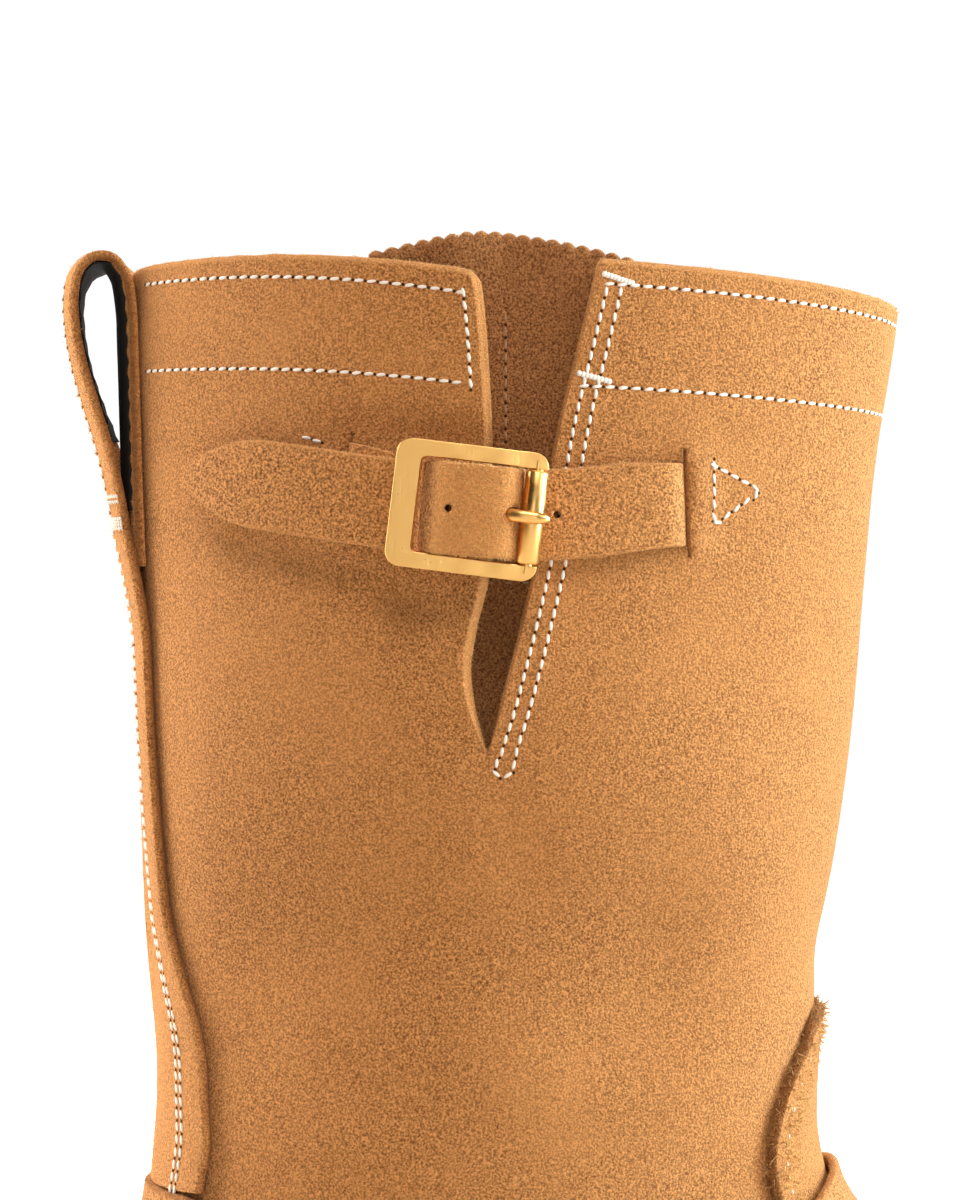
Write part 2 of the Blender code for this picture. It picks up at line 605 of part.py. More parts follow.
def make_overlays(finish):
    toe_z, heel_z = (feather_z(x) + OVERLAY_RISE for x in (LAST_LENGTH, 0.0))
    vamp_line = [(PAST_TOE, VAMP_EDGE[0][1]), *VAMP_EDGE, *welt_line(VAMP_FOOT, LAST_LENGTH), (PAST_TOE, toe_z)]
    vamp_rows = (ANKLE_ROW - 1, LAST_ROW)
    overlay("vamp", vamp_rows, (SEAT, SEAT + OVERLAY), vamp_line, "Y", PAST_SIDES, finish)
    back = PAST_BACK[0]
    counter_foot = [*welt_line(COUNTER_FOOT, 0.0), (back, heel_z)]
    counter_line = [(back, COUNTER_EDGE[0][1]), *COUNTER_EDGE[1:], *counter_foot]
    counter_rows = (ANKLE_ROW, COUNTER_ROW)
    overlay("heel_counter", counter_rows, (SEAT, SEAT + COUNTER), counter_line, "Y", PAST_SIDES, finish)
    stay_line = [(-w.half, w.z) for w in STAY] + [(w.half, w.z) for w in reversed(STAY)]
    stay_rows = (COLLAR_ROW, HEEL_ROW)
    overlay("back_stay", stay_rows, (SEAT, SEAT + OVERLAY), stay_line, "X", PAST_BACK, finish)


def ribbon(name, rings, finish):
    """A closed strip through rings of points that all have the same count."""
    count = len(rings[0])
    points = [p for ring in rings for p in ring]
    faces = [list(range(count))[::-1], [len(points) - count + k for k in range(count)]]
    for i in range(len(rings) - 1):
        for k in range(count):
            a, b = i * count + k, i * count + (k + 1) % count
            faces.append((a, b, b + count, a + count))
    return facing_out(solid(name, points, faces, finish))


def make_pull_loop(finish):
    """The strip that goes up the shaft's back, folds over and comes down again."""
    lengths = [0.0]
    for a, b in zip(LOOP, LOOP[1:]):
        lengths.append(lengths[-1] + math.hypot(b.x - a.x, b.z - a.z))

    def middle_at(at):
        values = [monotone(lengths, [getattr(p, name) for p in LOOP], at) for name in ("x", "z")]
        return Vector((values[0], 0, values[1]))

    rings = []
    step = lengths[-1] * LOOP_LOOK_SHARE
    for at in np.linspace(0, lengths[-1], LOOP_POINTS):
        along = middle_at(at + step) - middle_at(at - step)
        normal = Vector((-along.z, 0, along.x)).normalized()
        middle = middle_at(at)
        lateral, medial = [monotone(lengths, [getattr(p, name) for p in LOOP], at)
                           for name in ("lateral", "medial")]
        outer, inner = [], []
        for u in np.linspace(-1, 1, LOOP_ACROSS + 1):
            curl = lateral if u < 0 else medial
            curled = middle + Vector((curl * u * u, u * LOOP_HALF, 0))
            outer.append(curled + normal * LOOP_THICK / 2)
            inner.append(curled - normal * LOOP_THICK / 2)
        rings.append(outer + inner[::-1])
    return ribbon("pull_loop", rings, finish)


class SideSurface:
    """The lateral face of the upper, read at a place seen from the side."""

    def __init__(self, tree):
        self.tree = tree

    def at(self, x, z):
        point, normal, _, _ = self.tree.ray_cast(Vector((x, -1.0, z)), Vector((0, 1, 0)))
        return point, normal


def strap_rings(path, place):
    """Rings of a strap whose path is given by distance along and off the boot."""
    rings = []
    for i, here in enumerate(path):
        before, after = path[max(0, i - 1)], path[min(len(path) - 1, i + 1)]
        run = Vector((after.along - before.along, after.off - before.off)).normalized()
        side = Vector((-run.y, run.x)) * here.thick / 2
        corners = [(-here.half, 1), (here.half, 1), (here.half, -1), (-here.half, -1)]
        rings.append([place(here.along + side.x * s, b, here.off + side.y * s) for b, s in corners])
    return rings


def box_helper(name, place, box):
    """A helper box in a strap's own frame."""
    corners = [place(a, b, d) for a in box.along for b in (-box.half, box.half) for d in box.off]
    faces = [(0, 1, 3, 2), (4, 6, 7, 5), (0, 4, 5, 1), (2, 3, 7, 6), (0, 2, 6, 4), (1, 5, 7, 3)]
    return facing_out(solid(name, corners, faces, None))


def rigid_frame(origin, normal, along):
    """Places of a rigid piece: along the strap, across it and off the boot."""
    normal = normal.normalized()
    along = (along - normal * along.dot(normal)).normalized()
    across = along.cross(normal)
    if across.z < 0:
        across.negate()
    return lambda a, b, d: origin + along * a + across * b + normal * d


def frame_outline(steps=3):
    """The buckle's C-shaped plate: a rounded rectangle, open where the roller sits."""
    long, tall, r = FRAME_HALF_LONG, FRAME_HALF_TALL, FRAME_CORNER
    outline = []
    for a, b, start in ((long - r, tall - r, 0), (-long + r, tall - r, 90), (-long + r, -tall + r, 180),
                        (long - r, -tall + r, 270)):
        for k in range(steps + 1):
            turn = math.radians(start + 90 * k / steps)
            outline.append((a + r * math.cos(turn), b + r * math.sin(turn)))
    inside_a, inside_b = -long + FRAME_LEFT_BAR, tall - FRAME_ARM
    mouth = [(long, -inside_b), (inside_a, -inside_b), (inside_a, inside_b), (long, inside_b)]
    return outline[: 4 * (steps + 1)] + mouth


def rod_rings(place, centre, radius, ends, sides=ROD_SIDES):
    """Rings of a round rod that lies across the strap."""
    a, d = centre
    turns = [2 * math.pi * k / sides for k in range(sides)]
    return [[place(a + radius * math.cos(t), b, d + radius * math.sin(t)) for t in turns] for b in ends]


def make_buckle(prefix, place, finish):
    """Frame with its centre bar and roller bar, the roller, and the prong over the roller."""
    outline = frame_outline()
    levels = [[place(a, b, d) for a, b in outline] for d in (FRAME_LOW, FRAME_HIGH)]
    frame = ribbon(prefix + "_buckle_frame", levels, finish)
    arm_inside = FRAME_HALF_TALL - FRAME_ARM
    bar_end = arm_inside + BAR_SUNK * FRAME_ARM
    for name, (a, d, radius) in (("centre_bar", CENTRE_BAR), ("roller_bar", ROLLER_BAR)):
        bar = ribbon(f"{prefix}_{name}", rod_rings(place, (a, d), radius, (-bar_end, bar_end)), None)
        cut(frame, bar, "UNION")
    a, d, _ = ROLLER_BAR
    roller_end = arm_inside - SEAT
    roller_rings = rod_rings(place, (a, d), ROLLER_OUTER, (-roller_end, roller_end), ROLLER_SIDES)
    roller = ribbon(prefix + "_buckle_roller", roller_rings, finish)
    bore_rings = rod_rings(place, (a, d), ROLLER_INNER, (-2 * roller_end, 2 * roller_end))
    cut(roller, ribbon(prefix + "_roller_bore", bore_rings, None), "DIFFERENCE")
    make_prong(prefix, place, finish)


def make_prong(prefix, place, finish):
    """A ring round the centre bar with a tapering arm that rests on the roller."""
    a, d, _ = CENTRE_BAR
    inner, outer = PRONG_RING
    ends = (-PRONG_HALF, PRONG_HALF)
    prong = ribbon(prefix + "_buckle_prong", rod_rings(place, (a, d), outer, ends), finish)
    turns = [2 * math.pi * k / PRONG_SIDES for k in range(PRONG_SIDES)]
    rings = []
    for i, here in enumerate(PRONG_ARM):
        before, after = PRONG_ARM[max(0, i - 1)], PRONG_ARM[min(len(PRONG_ARM) - 1, i + 1)]
        run = Vector((after.along - before.along, after.off - before.off)).normalized()
        ring = []
        for t in turns:
            rise = here.radius * math.sin(t)
            ring.append(place(here.along - run.y * rise, here.radius * math.cos(t), here.off + run.x * rise))
        rings.append(ring)
    cut(prong, ribbon(prefix + "_prong_arm", rings, None), "UNION")
    bore = (-PRONG_HALF * 2, PRONG_HALF * 2)
    cut(prong, ribbon(prefix + "_prong_bore", rod_rings(place, (a, d), inner, bore), None), "DIFFERENCE")


def strap_with_prong_hole(name, path, place, finish):
    """A billet, with the hole that the prong comes up through."""
    made = ribbon(name, strap_rings(path, place), finish)
    cut(made, box_helper(name + "_hole", place, PRONG_HOLE), "DIFFERENCE")
    return made


def chape_with_prong_slot(name, path, place, finish):
    """A chape folded round the centre bar, slotted for the prong's ring."""
    made = ribbon(name, strap_rings(path, place), finish)
    cut(made, box_helper(name + "_slot", place, RING_SLOT), "DIFFERENCE")
    return made


def make_top_strap(surface, upper, leather, brass):
    """The strap that draws the collar's slit together, with its buckle, and the slots its ends go through."""

    def along_line(line):
        def place(a, b, d):
            x = TOP_BUCKLE_X + a
            behind, ahead = column(line, "x", "z", x - LINE_STEP), column(line, "x", "z", x + LINE_STEP)
            slope = (ahead - behind) / (2 * LINE_STEP)
            run = math.hypot(1, slope)
            point, normal = surface.at(x - b * slope / run, column(line, "x", "z", x) + b / run)
            return point + normal * d
        return place

    billet_place, chape_place = along_line(TOP_BILLET_LINE), along_line(TOP_CHAPE_LINE)
    strap_with_prong_hole("top_strap_billet", TOP_BILLET, billet_place, leather)
    chape_with_prong_slot("top_strap_chape", TOP_CHAPE, chape_place, leather)
    slots = (("billet_slot", billet_place, BILLET_SLOT), ("chape_slot", chape_place, CHAPE_SLOT))
    for name, place, along in slots:
        ends = (along - SLOT_LONG / 2, along + SLOT_LONG / 2)
        cut(upper, box_helper(name, place, HoleBox(ends, SLOT_TALL / 2, (-2 * WALL, WALL))), "DIFFERENCE")
    origin, normal = surface.at(TOP_BUCKLE_X, column(TOP_BILLET_LINE, "x", "z", TOP_BUCKLE_X))
    tilt = Vector((math.cos(BUCKLE_ROLL), 0, math.sin(BUCKLE_ROLL)))
    make_buckle("top", rigid_frame(origin, normal, tilt), brass)


def make_instep_strap(tree, leather, brass):
    """The strap over the instep, from its chape round the front to the inner side."""
    forward = Vector((math.cos(INSTEP_RISE), 0, math.sin(INSTEP_RISE)))
    upward = Vector((-math.sin(INSTEP_RISE), 0, math.cos(INSTEP_RISE)))

    def ray(angle, b):
        out = Vector((0, -1, 0)) * math.cos(angle) + forward * math.sin(angle)
        start = INSTEP_CENTRE + upward * b
        point, normal, _, _ = tree.ray_cast(start + out, -out)
        return point, normal

    angles = np.linspace(INSTEP_FROM, INSTEP_TO, INSTEP_ANGLES)
    line = [ray(angle, 0.0)[0] for angle in angles]
    lengths = np.concatenate([[0.0], np.cumsum([(q - p).length for p, q in zip(line, line[1:])])])
    lengths -= np.interp(INSTEP_BUCKLE, angles, lengths)
    origin, normal = ray(INSTEP_BUCKLE, 0.0)
    ahead = ray(INSTEP_BUCKLE + INSTEP_LOOK, 0.0)[0] - ray(INSTEP_BUCKLE - INSTEP_LOOK, 0.0)[0]
    flat = rigid_frame(origin + normal * INSTEP_FLAT_SEAT, normal, ahead)

    def place(a, b, d):
        point, normal = ray(float(np.interp(a, lengths, angles)), b)
        laid = point + normal * (d + INSTEP_SEAT)
        share = min(1.0, max(0.0, (INSTEP_LAID - abs(a)) / (INSTEP_LAID - INSTEP_FLAT)))
        return laid.lerp(flat(a, b, d), share)

    past_roller = [p for p in TOP_BILLET if PAST_ROLLER[0] < p.along < PAST_ROLLER[1]]
    run = np.arange(INSTEP_BILLET_FROM, INSTEP_BILLET_LENGTH, INSTEP_BILLET_STEP)
    over_instep = [PathPoint(a, INSTEP_BILLET_OFF, STRAP, STRAP_HALF) for a in reversed(run)]
    strap_with_prong_hole("instep_strap_billet", over_instep + past_roller + INSTEP_TIP, place, leather)
    chape_with_prong_slot("instep_strap_chape", INSTEP_CHAPE_ANCHOR + CHAPE_FOLD, place, leather)
    make_buckle("instep", flat, brass)


def make_gusset(surface, finish):
    """The bellows piece behind the slit, bowed into the shaft and arched above the collar."""
    wide, tall = GUSSET_CELLS
    skin = bmesh.new()
    grid = []
    for v in np.linspace(0, 1, tall + 1):
        z = GUSSET[0].z + v * (GUSSET[-1].z - GUSSET[0].z)
        left, right = column(GUSSET, "z", "left_x", z), column(GUSSET, "z", "right_x", z)
        line = []
        for u in np.linspace(0, 1, wide + 1):
            bow = math.sin(math.pi * u)
            point, normal = surface.at(left + u * (right - left), z + GUSSET_ARCH * bow * v**4)
            line.append(skin.verts.new(point - normal * (WALL + GUSSET_SEAT + GUSSET_DEPTH * bow)))
        grid.append(line)
    for below, above in zip(grid, grid[1:]):
        for j in range(wide):
            skin.faces.new((above[j], below[j], below[j + 1], above[j + 1]))
    skin.normal_update()
    made = walled("gusset", skin, -GUSSET_THICK, 0.0, finish)
    skin.free()
    return made


def outline_loop(reach):
    """The last's outline in plan, moved outwards: heel back, lateral side, toe, medial side."""
    heel = [HEEL_BACK + HEEL_RADIUS * (1 - math.cos(math.radians(t))) for t in HEEL_TURNS]
    middle = [HEEL_BACK + HEEL_RADIUS, *SIDE_STATIONS]
    toe_start = LAST_LENGTH - TOE_RADIUS
    toe = [toe_start + TOE_RADIUS * math.sin(math.radians(t)) for t in TOE_TURNS]
    xs = heel + middle + toe
    loop = [(x, -underside_half(x, LATERAL)) for x in xs] + [(LAST_LENGTH, 0.0)]
    loop += [(x, underside_half(x, MEDIAL)) for x in reversed(xs[1:])]
    moved = []
    for i, (x, y) in enumerate(loop):
        (x0, y0), (x1, y1) = loop[i - 1], loop[(i + 1) % len(loop)]
        run = Vector((x1 - x0, y1 - y0)).normalized()
        out = reach(x) if callable(reach) else reach
        moved.append((x + run.y * out, y - run.x * out))
    return moved


def welt_reach(x):
    return column(WELT_REACH, "x", "z", x)


def plate(name, loop, top, bottom, finish):
    """A sole layer: an outline with a top and a bottom height at each x, filled across its width."""
    count = len(loop)
    points = [(x, y, top(x)) for x, y in loop] + [(x, y, bottom(x)) for x, y in loop]
    faces = []
    half = count // 2
    for i in range(half):
        a, b, c, d = i, i + 1, (count - i - 1) % count, (count - i) % count
        ring = [a, b, c, d] if len({a, b, c, d}) == 4 else list(dict.fromkeys((a, b, c, d)))
        faces += [ring, [count + k for k in reversed(ring)]]
    faces += [((i + 1) % count, i, count + i, count + (i + 1) % count) for i in range(count)]
    return solid(name, points, faces, finish)


def make_sole(welt_leather, sole_leather, rubber):
    loop = outline_loop(welt_reach)
    inside = outline_loop(-WELT_UNDER)
    under_welt = WELT + SEAT
    make_welt(loop, inside, under_welt, welt_leather)
    top = under_welt + SEAT
    plate("midsole", loop, lambda x: feather_z(x) - top, lambda x: feather_z(x) - top - MIDSOLE, sole_leather)
    low = top + MIDSOLE + SEAT
    plate("outsole", loop, lambda x: feather_z(x) - low, lambda x: feather_z(x) - STACK, rubber)
    plate("insole", outline_loop(-INSOLE_INSET), lambda x: feather_z(x) + INSOLE_RISE,
          lambda x: feather_z(x) + INSOLE_RISE - INSOLE, sole_leather)
    make_heel(sole_leather, rubber)


def make_welt(outside, inside, depth, finish):
    """A flat strip round the boot, under the upper's edge."""
    levels = [(outside, SEAT), (inside, SEAT), (inside, depth), (outside, depth)]
    count = len(outside)
    points = [(x, y, feather_z(x) - down) for loop, down in levels for x, y in loop]
    faces = []
    for k in range(4):
        for i in range(count):
            j = (i + 1) % count
            faces.append((k * count + i, k * count + j, (k + 1) % 4 * count + j, (k + 1) % 4 * count + i))
    return solid("welt", points, faces, finish)


def heel_loop(inset):
    """The heel's outline in plan, closed by its straight breast."""
    loop = outline_loop(lambda x: welt_reach(x) - inset)
    lateral = [p for p in loop[: len(loop) // 2] if p[0] < HEEL_BREAST - BREAST_CORNER]
    medial = [p for p in loop[len(loop) // 2 :] if p[0] < HEEL_BREAST - BREAST_CORNER]
    reach = welt_reach(HEEL_BREAST) - inset
    corners = [(HEEL_BREAST - inset, -underside_half(HEEL_BREAST, LATERAL) - reach),
               (HEEL_BREAST - inset, underside_half(HEEL_BREAST, MEDIAL) + reach)]
    return lateral + corners + medial


def make_heel(leather, rubber):
    """Lifts under the seat, with a groove at each joint, and the rubber top lift that meets the floor."""
    low = TOP_LIFT + SEAT
    levels = []
    for k in range(LIFT_COUNT):
        for share, groove in ((k, LIFT_GROOVE), (k + GROOVE_SHARE, 0.0), (k + 1 - GROOVE_SHARE, 0.0)):
            levels.append((share / LIFT_COUNT, groove))
    levels.append((1.0, 0.0))
    rings = []
    for share, groove in levels:
        loop = heel_loop(HEEL_TAPER * (1 - share) + groove)
        rings.append([(x, y, low + share * (feather_z(x) - STACK - SEAT - low)) for x, y in loop])
    ribbon("heel_base", rings, leather)
    ribbon("top_lift", [[(x, y, z) for x, y in heel_loop(HEEL_TAPER)] for z in (0.0, TOP_LIFT)], rubber)


def main():
    for old in list(bpy.data.objects):
        bpy.data.objects.remove(old)
    boot = bpy.data.objects.new("boot", None)
    boot.location = (-CENTRE_X, -CENTRE_Y, 0)
    bpy.context.scene.collection.objects.link(boot)

    suede = material("tan_roughout_leather", "BE8049", 0.92)
    lining = material("tan_gusset_leather", "9A6238", 0.95)
    edge_leather = material("natural_sole_leather", "B98A58", 0.70)
    brass = material("solid_brass", "D9AE62", 0.28, 1.0)
    rubber = material("dark_brown_rubber", "3A2A20", 0.80)

    fine = upper_skin(0, LAST_ROW, FINE_COLUMNS, FINE_FACTOR, slit=False)
    tree = BVHTree.FromBMesh(fine)
    fine.free()
    surface = SideSurface(tree)
    upper = make_upper(suede)
    make_overlays(suede)
    make_pull_loop(suede)
    make_gusset(surface, lining)
    make_top_strap(surface, upper, suede, brass)
    make_instep_strap(tree, suede, brass)
    make_sole(edge_leather, edge_leather, rubber)


main()
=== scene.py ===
"""Looks of the engineer boot: roughout leather, straps, brass buckles, seams, sole and a pale studio.

Lengths are metres. The last frame has x from the heel's back to the toe, y to the wearer's left (the inner,
medial side) and z up from the floor. LAST_TO_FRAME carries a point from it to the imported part's frame.
"""

import math
from collections import namedtuple
from functools import lru_cache

import bmesh
import bpy
import numpy as np
from bpy.props import FloatProperty, FloatVectorProperty, IntProperty, PointerProperty
from bpy.types import Operator, Panel, PropertyGroup
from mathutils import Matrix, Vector, noise
from mathutils.bvhtree import BVHTree


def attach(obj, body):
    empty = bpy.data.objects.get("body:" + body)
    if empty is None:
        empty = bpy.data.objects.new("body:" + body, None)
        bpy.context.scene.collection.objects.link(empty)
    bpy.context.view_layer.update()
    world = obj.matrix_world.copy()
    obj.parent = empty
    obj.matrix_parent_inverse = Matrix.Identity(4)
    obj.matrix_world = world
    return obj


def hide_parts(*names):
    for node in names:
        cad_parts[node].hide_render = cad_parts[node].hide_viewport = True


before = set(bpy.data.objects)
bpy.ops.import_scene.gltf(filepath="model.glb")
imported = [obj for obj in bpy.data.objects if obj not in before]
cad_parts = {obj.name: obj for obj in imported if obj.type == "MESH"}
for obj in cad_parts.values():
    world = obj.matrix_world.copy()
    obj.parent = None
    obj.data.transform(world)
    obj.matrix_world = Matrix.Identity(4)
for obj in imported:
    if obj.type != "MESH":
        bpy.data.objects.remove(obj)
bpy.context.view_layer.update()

bl_info = {
    "name": "Engineer boot looks",
    "version": (1, 0, 0),
    "blender": (4, 5, 0),
    "location": "3D View > Sidebar > Boot",
    "description": "Leather, straps, buckles, seams, sole and studio of an engineer boot",
    "category": "Object",
}

# Driving dimensions, the same as the solids have
LAST_TO_FRAME = Vector((-0.1410, 0.0012, 0.0))
LAST_LENGTH = 0.288
WALL = 0.0022
OVERLAY = 0.0023
COUNTER = 0.0034
SEAT = 0.0003
FULLNESS = 2.2
FOOT_FULL = 2.7
DROP = 0.006
TUCK_LONG, TUCK_WIDE = 0.9895, 0.955
EDGE_MARGIN = 1.01
LATERAL, MEDIAL = -1.0, 1.0
SIDE_NAMES = {LATERAL: "lateral", MEDIAL: "medial"}
WELT, MIDSOLE, OUTSOLE, INSOLE = 0.0032, 0.0045, 0.0055, 0.0040
STACK = WELT + MIDSOLE + OUTSOLE + 3 * SEAT
INSOLE_RISE = 0.0008
TOP_LIFT = 0.0087
HEEL_BREAST = 0.082
LIFT_COUNT = 3
HEEL_TAPER = 0.0018
HEEL_BACK = 0.0025
HEEL_POINT = 0.0040
HEEL_RADIUS = 0.0305
TOE_RADIUS = 0.066
TOE_SQUARENESS = 2.3
WELT_UNDER = 0.0040
INSOLE_INSET = 0.0046

ShaftSection = namedtuple("ShaftSection", "name front_x front_z back_x back_z lateral medial crown full")
FootSection = namedtuple("FootSection", "name ridge_x ridge_z ridge_y sole_x lateral medial")

# Closed sections from above the collar down to the heel's back, each through a front and a back point
SHAFT = [ShaftSection(*row) for row in (
    ("above_collar", 0.1672, 0.3035, 0.0006, 0.3120, 0.0467, 0.0467, 0.0022, 1.75),
    ("collar", 0.1665, 0.2915, 0.0010, 0.3000, 0.0465, 0.0465, 0.0022, 1.75),
    ("strap", 0.1612, 0.2520, 0.0020, 0.2545, 0.0455, 0.0455, 0.0008, 1.75),
    ("slit_end", 0.1561, 0.1975, 0.0045, 0.2005, 0.0437, 0.0432, 0.0, 1.75),
    ("low_shaft", 0.1505, 0.1600, 0.0063, 0.1630, 0.0413, 0.0408, 0.0, 1.8),
    ("ankle", 0.1475, 0.1370, 0.0088, 0.1260, 0.0387, 0.0382, 0.0, 1.95),
    ("throat", 0.1470, 0.1200, 0.0080, 0.1080, 0.0377, 0.0371, 0.0, 2.1),
    ("counter_top", 0.1492, 0.1060, 0.0048, 0.0880, 0.0373, 0.0367, 0.0, 2.3),
    ("counter", 0.1545, 0.0960, 0.0006, 0.0660, 0.0372, 0.0366, 0.0, 2.5),
    ("heel_point", 0.1612, 0.0890, HEEL_POINT, 0.0415 - DROP, 0.0375, 0.0366, 0.0, 2.6),
)]

# Open sections from the heel's back to the toe, each from a point on the vamp's ridge to the sole
FOOT = [FootSection(*row) for row in (
    ("seat_back", 0.1650, 0.0858, 0.0005, 0.0062, 0.0377, 0.0366),
    ("seat", 0.1695, 0.0830, 0.0010, 0.0155, 0.0380, 0.0366),
    ("seat_front", 0.1752, 0.0800, 0.0015, 0.0340, 0.0384, 0.0364),
    ("breast", 0.1822, 0.0768, 0.0020, 0.0620, 0.0392, 0.0364),
    ("waist", 0.1910, 0.0736, 0.0024, 0.1000, 0.0415, 0.0375),
    ("arch", 0.2020, 0.0702, 0.0026, 0.1400, 0.0458, 0.0412),
    ("ball_back", 0.2150, 0.0666, 0.0027, 0.1750, 0.0492, 0.0455),
    ("ball", 0.2290, 0.0630, 0.0025, 0.2060, 0.0500, 0.0480),
    ("toe_joint", 0.2430, 0.0608, 0.0022, 0.2310, 0.0476, 0.0480),
    ("toe_box", 0.2565, 0.0585, 0.0018, 0.2510, 0.0425, 0.0440),
    ("toe_crest", 0.2694, 0.0550, 0.0013, 0.2670, 0.0350, 0.0368),
    ("toe_turn", 0.2796, 0.0492, 0.0008, 0.2782, 0.0260, 0.0275),
    ("toe_face", 0.2858, 0.0408, 0.0004, 0.2848, 0.0166, 0.0176),
    ("toe_foot", 0.2882, 0.0305, 0.0002, 0.2873, 0.0086, 0.0090),
    ("toe_tip", 0.2865, 0.0204, 0.0000, 0.2880, 0.0000, 0.0000),
)]
COLLAR_ROW = 1
SLIT_ROW = 3
ANKLE_ROW = 5
HEEL_ROW = len(SHAFT) - 1
COUNTER_ROW = HEEL_ROW + 6
LAST_ROW = len(SHAFT) + len(FOOT) - 1

Station = namedtuple("Station", "x lateral medial")
UNDERSIDE = [Station(*row) for row in (
    (0.000, 0.0310, 0.0310), (0.030, 0.0312, 0.0310), (0.060, 0.0325, 0.0308), (0.095, 0.0345, 0.0285),
    (0.130, 0.0395, 0.0285), (0.160, 0.0450, 0.0340), (0.185, 0.0485, 0.0420), (0.210, 0.0485, 0.0465),
    (0.235, 0.0460, 0.0465), (0.260, 0.0430, 0.0450), (0.288, 0.0400, 0.0430),
)]
Height = namedtuple("Height", "x z")
FEATHER = [Height(*row) for row in (
    (0.000, 0.0415), (0.040, 0.0405), (0.075, 0.0390), (0.105, 0.0330), (0.135, 0.0235),
    (0.158, 0.0168), (0.178, STACK), (0.216, STACK), (0.242, 0.0162), (0.266, 0.0206), (0.288, 0.0268),
    (0.300, 0.0302),
)]
WELT_REACH = [Height(*row) for row in (
    (0.000, 0.0050), (0.085, 0.0046), (0.135, 0.0050), (0.185, 0.0070), (0.288, 0.0078),
)]

# The slit's two edges on the lateral side, and the edges of the overlays, all seen from the side
Slit = namedtuple("Slit", "z left_x right_x")
SLIT = [Slit(*row) for row in (
    (0.1990, 0.0780, 0.0780), (0.2060, 0.0761, 0.0803), (0.2160, 0.0746, 0.0830),
    (0.2240, 0.0757, 0.0850), (0.2380, 0.0786, 0.0882), (0.2640, 0.0788, 0.0925),
    (0.2820, 0.0780, 0.0968), (0.2990, 0.0765, 0.1008),
)]
PANEL_DROP = 0.0037
PANEL_REACH = 0.055
VAMP_EDGE = [Height(*row) for row in (
    (0.1600, 0.1425), (0.1478, 0.1418), (0.1440, 0.1352), (0.1388, 0.1245), (0.1366, 0.1130),
    (0.1380, 0.1030), (0.1355, 0.0880), (0.1280, 0.0710), (0.1160, 0.0540), (0.1050, 0.0420),
    (0.1000, 0.0355),
)]
COUNTER_EDGE = [Height(*row) for row in (
    (-0.0200, 0.1045), (0.0120, 0.1040), (0.0330, 0.0985), (0.0560, 0.0850), (0.0740, 0.0670),
    (0.0850, 0.0500), (0.0900, 0.0380), (0.0920, 0.0300),
)]
StayWidth = namedtuple("StayWidth", "z half")
STAY = [StayWidth(*row) for row in (
    (0.1052, 0.0222), (0.1130, 0.0222), (0.1240, 0.0205), (0.1390, 0.0178), (0.1520, 0.0138),
    (0.1650, 0.0108), (0.2000, 0.0104), (0.2352, 0.0104),
)]
STAY_TOP = 0.2200

# The pull loop's middle line behind the shaft, with how far its two edges curl round the shaft
LoopPoint = namedtuple("LoopPoint", "x z lateral medial")
LOOP = [LoopPoint(*row) for row in (
    (0.00095, 0.2372, 0.0036, 0.0036), (0.00035, 0.2520, 0.0036, 0.0036),
    (-0.00015, 0.2680, 0.0036, 0.0036), (-0.00065, 0.2840, 0.0036, 0.0036),
    (-0.00115, 0.2940, 0.0036, 0.0036), (-0.0024, 0.3000, 0.0034, 0.0032),
    (-0.0050, 0.3034, 0.0030, 0.0024), (-0.0085, 0.3034, 0.0028, 0.0016),
    (-0.0116, 0.3006, 0.0030, 0.0008), (-0.0129, 0.2955, 0.0031, 0.0004),
    (-0.0127, 0.2890, 0.0031, 0.0004), (-0.0114, 0.2810, 0.0033, 0.0006),
    (-0.0091, 0.2725, 0.0036, 0.0012), (-0.0061, 0.2630, 0.0036, 0.0022),
    (-0.0038, 0.2535, 0.0036, 0.0032), (-0.0024, 0.2450, 0.0036, 0.0036),
    (-0.0019, 0.2372, 0.0036, 0.0036),
)]
LOOP_HALF = 0.0105
LOOP_THICK = 0.0021

# The bellows gusset behind the slit
Gusset = namedtuple("Gusset", "z left_x right_x")
GUSSET = [Gusset(*row) for row in (
    (0.1900, 0.0690, 0.0880), (0.2100, 0.0640, 0.0940), (0.2450, 0.0580, 0.1030),
    (0.2800, 0.0545, 0.1090), (0.2985, 0.0535, 0.1120),
)]
GUSSET_THICK = 0.0015
GUSSET_DEPTH = 0.0045
GUSSET_SEAT = 0.0005
GUSSET_TOP = [Height(*row) for row in (
    (0.0535, 0.2985), (0.0700, 0.3020), (0.0760, 0.3026), (0.0985, 0.2993), (0.1120, 0.2955),
)]
PINK_PITCH = 0.0031
PINK_DEPTH = 0.0013
PINK_FROM = 0.97
PLEATS, PLEAT_DEPTH = 5, 0.0007

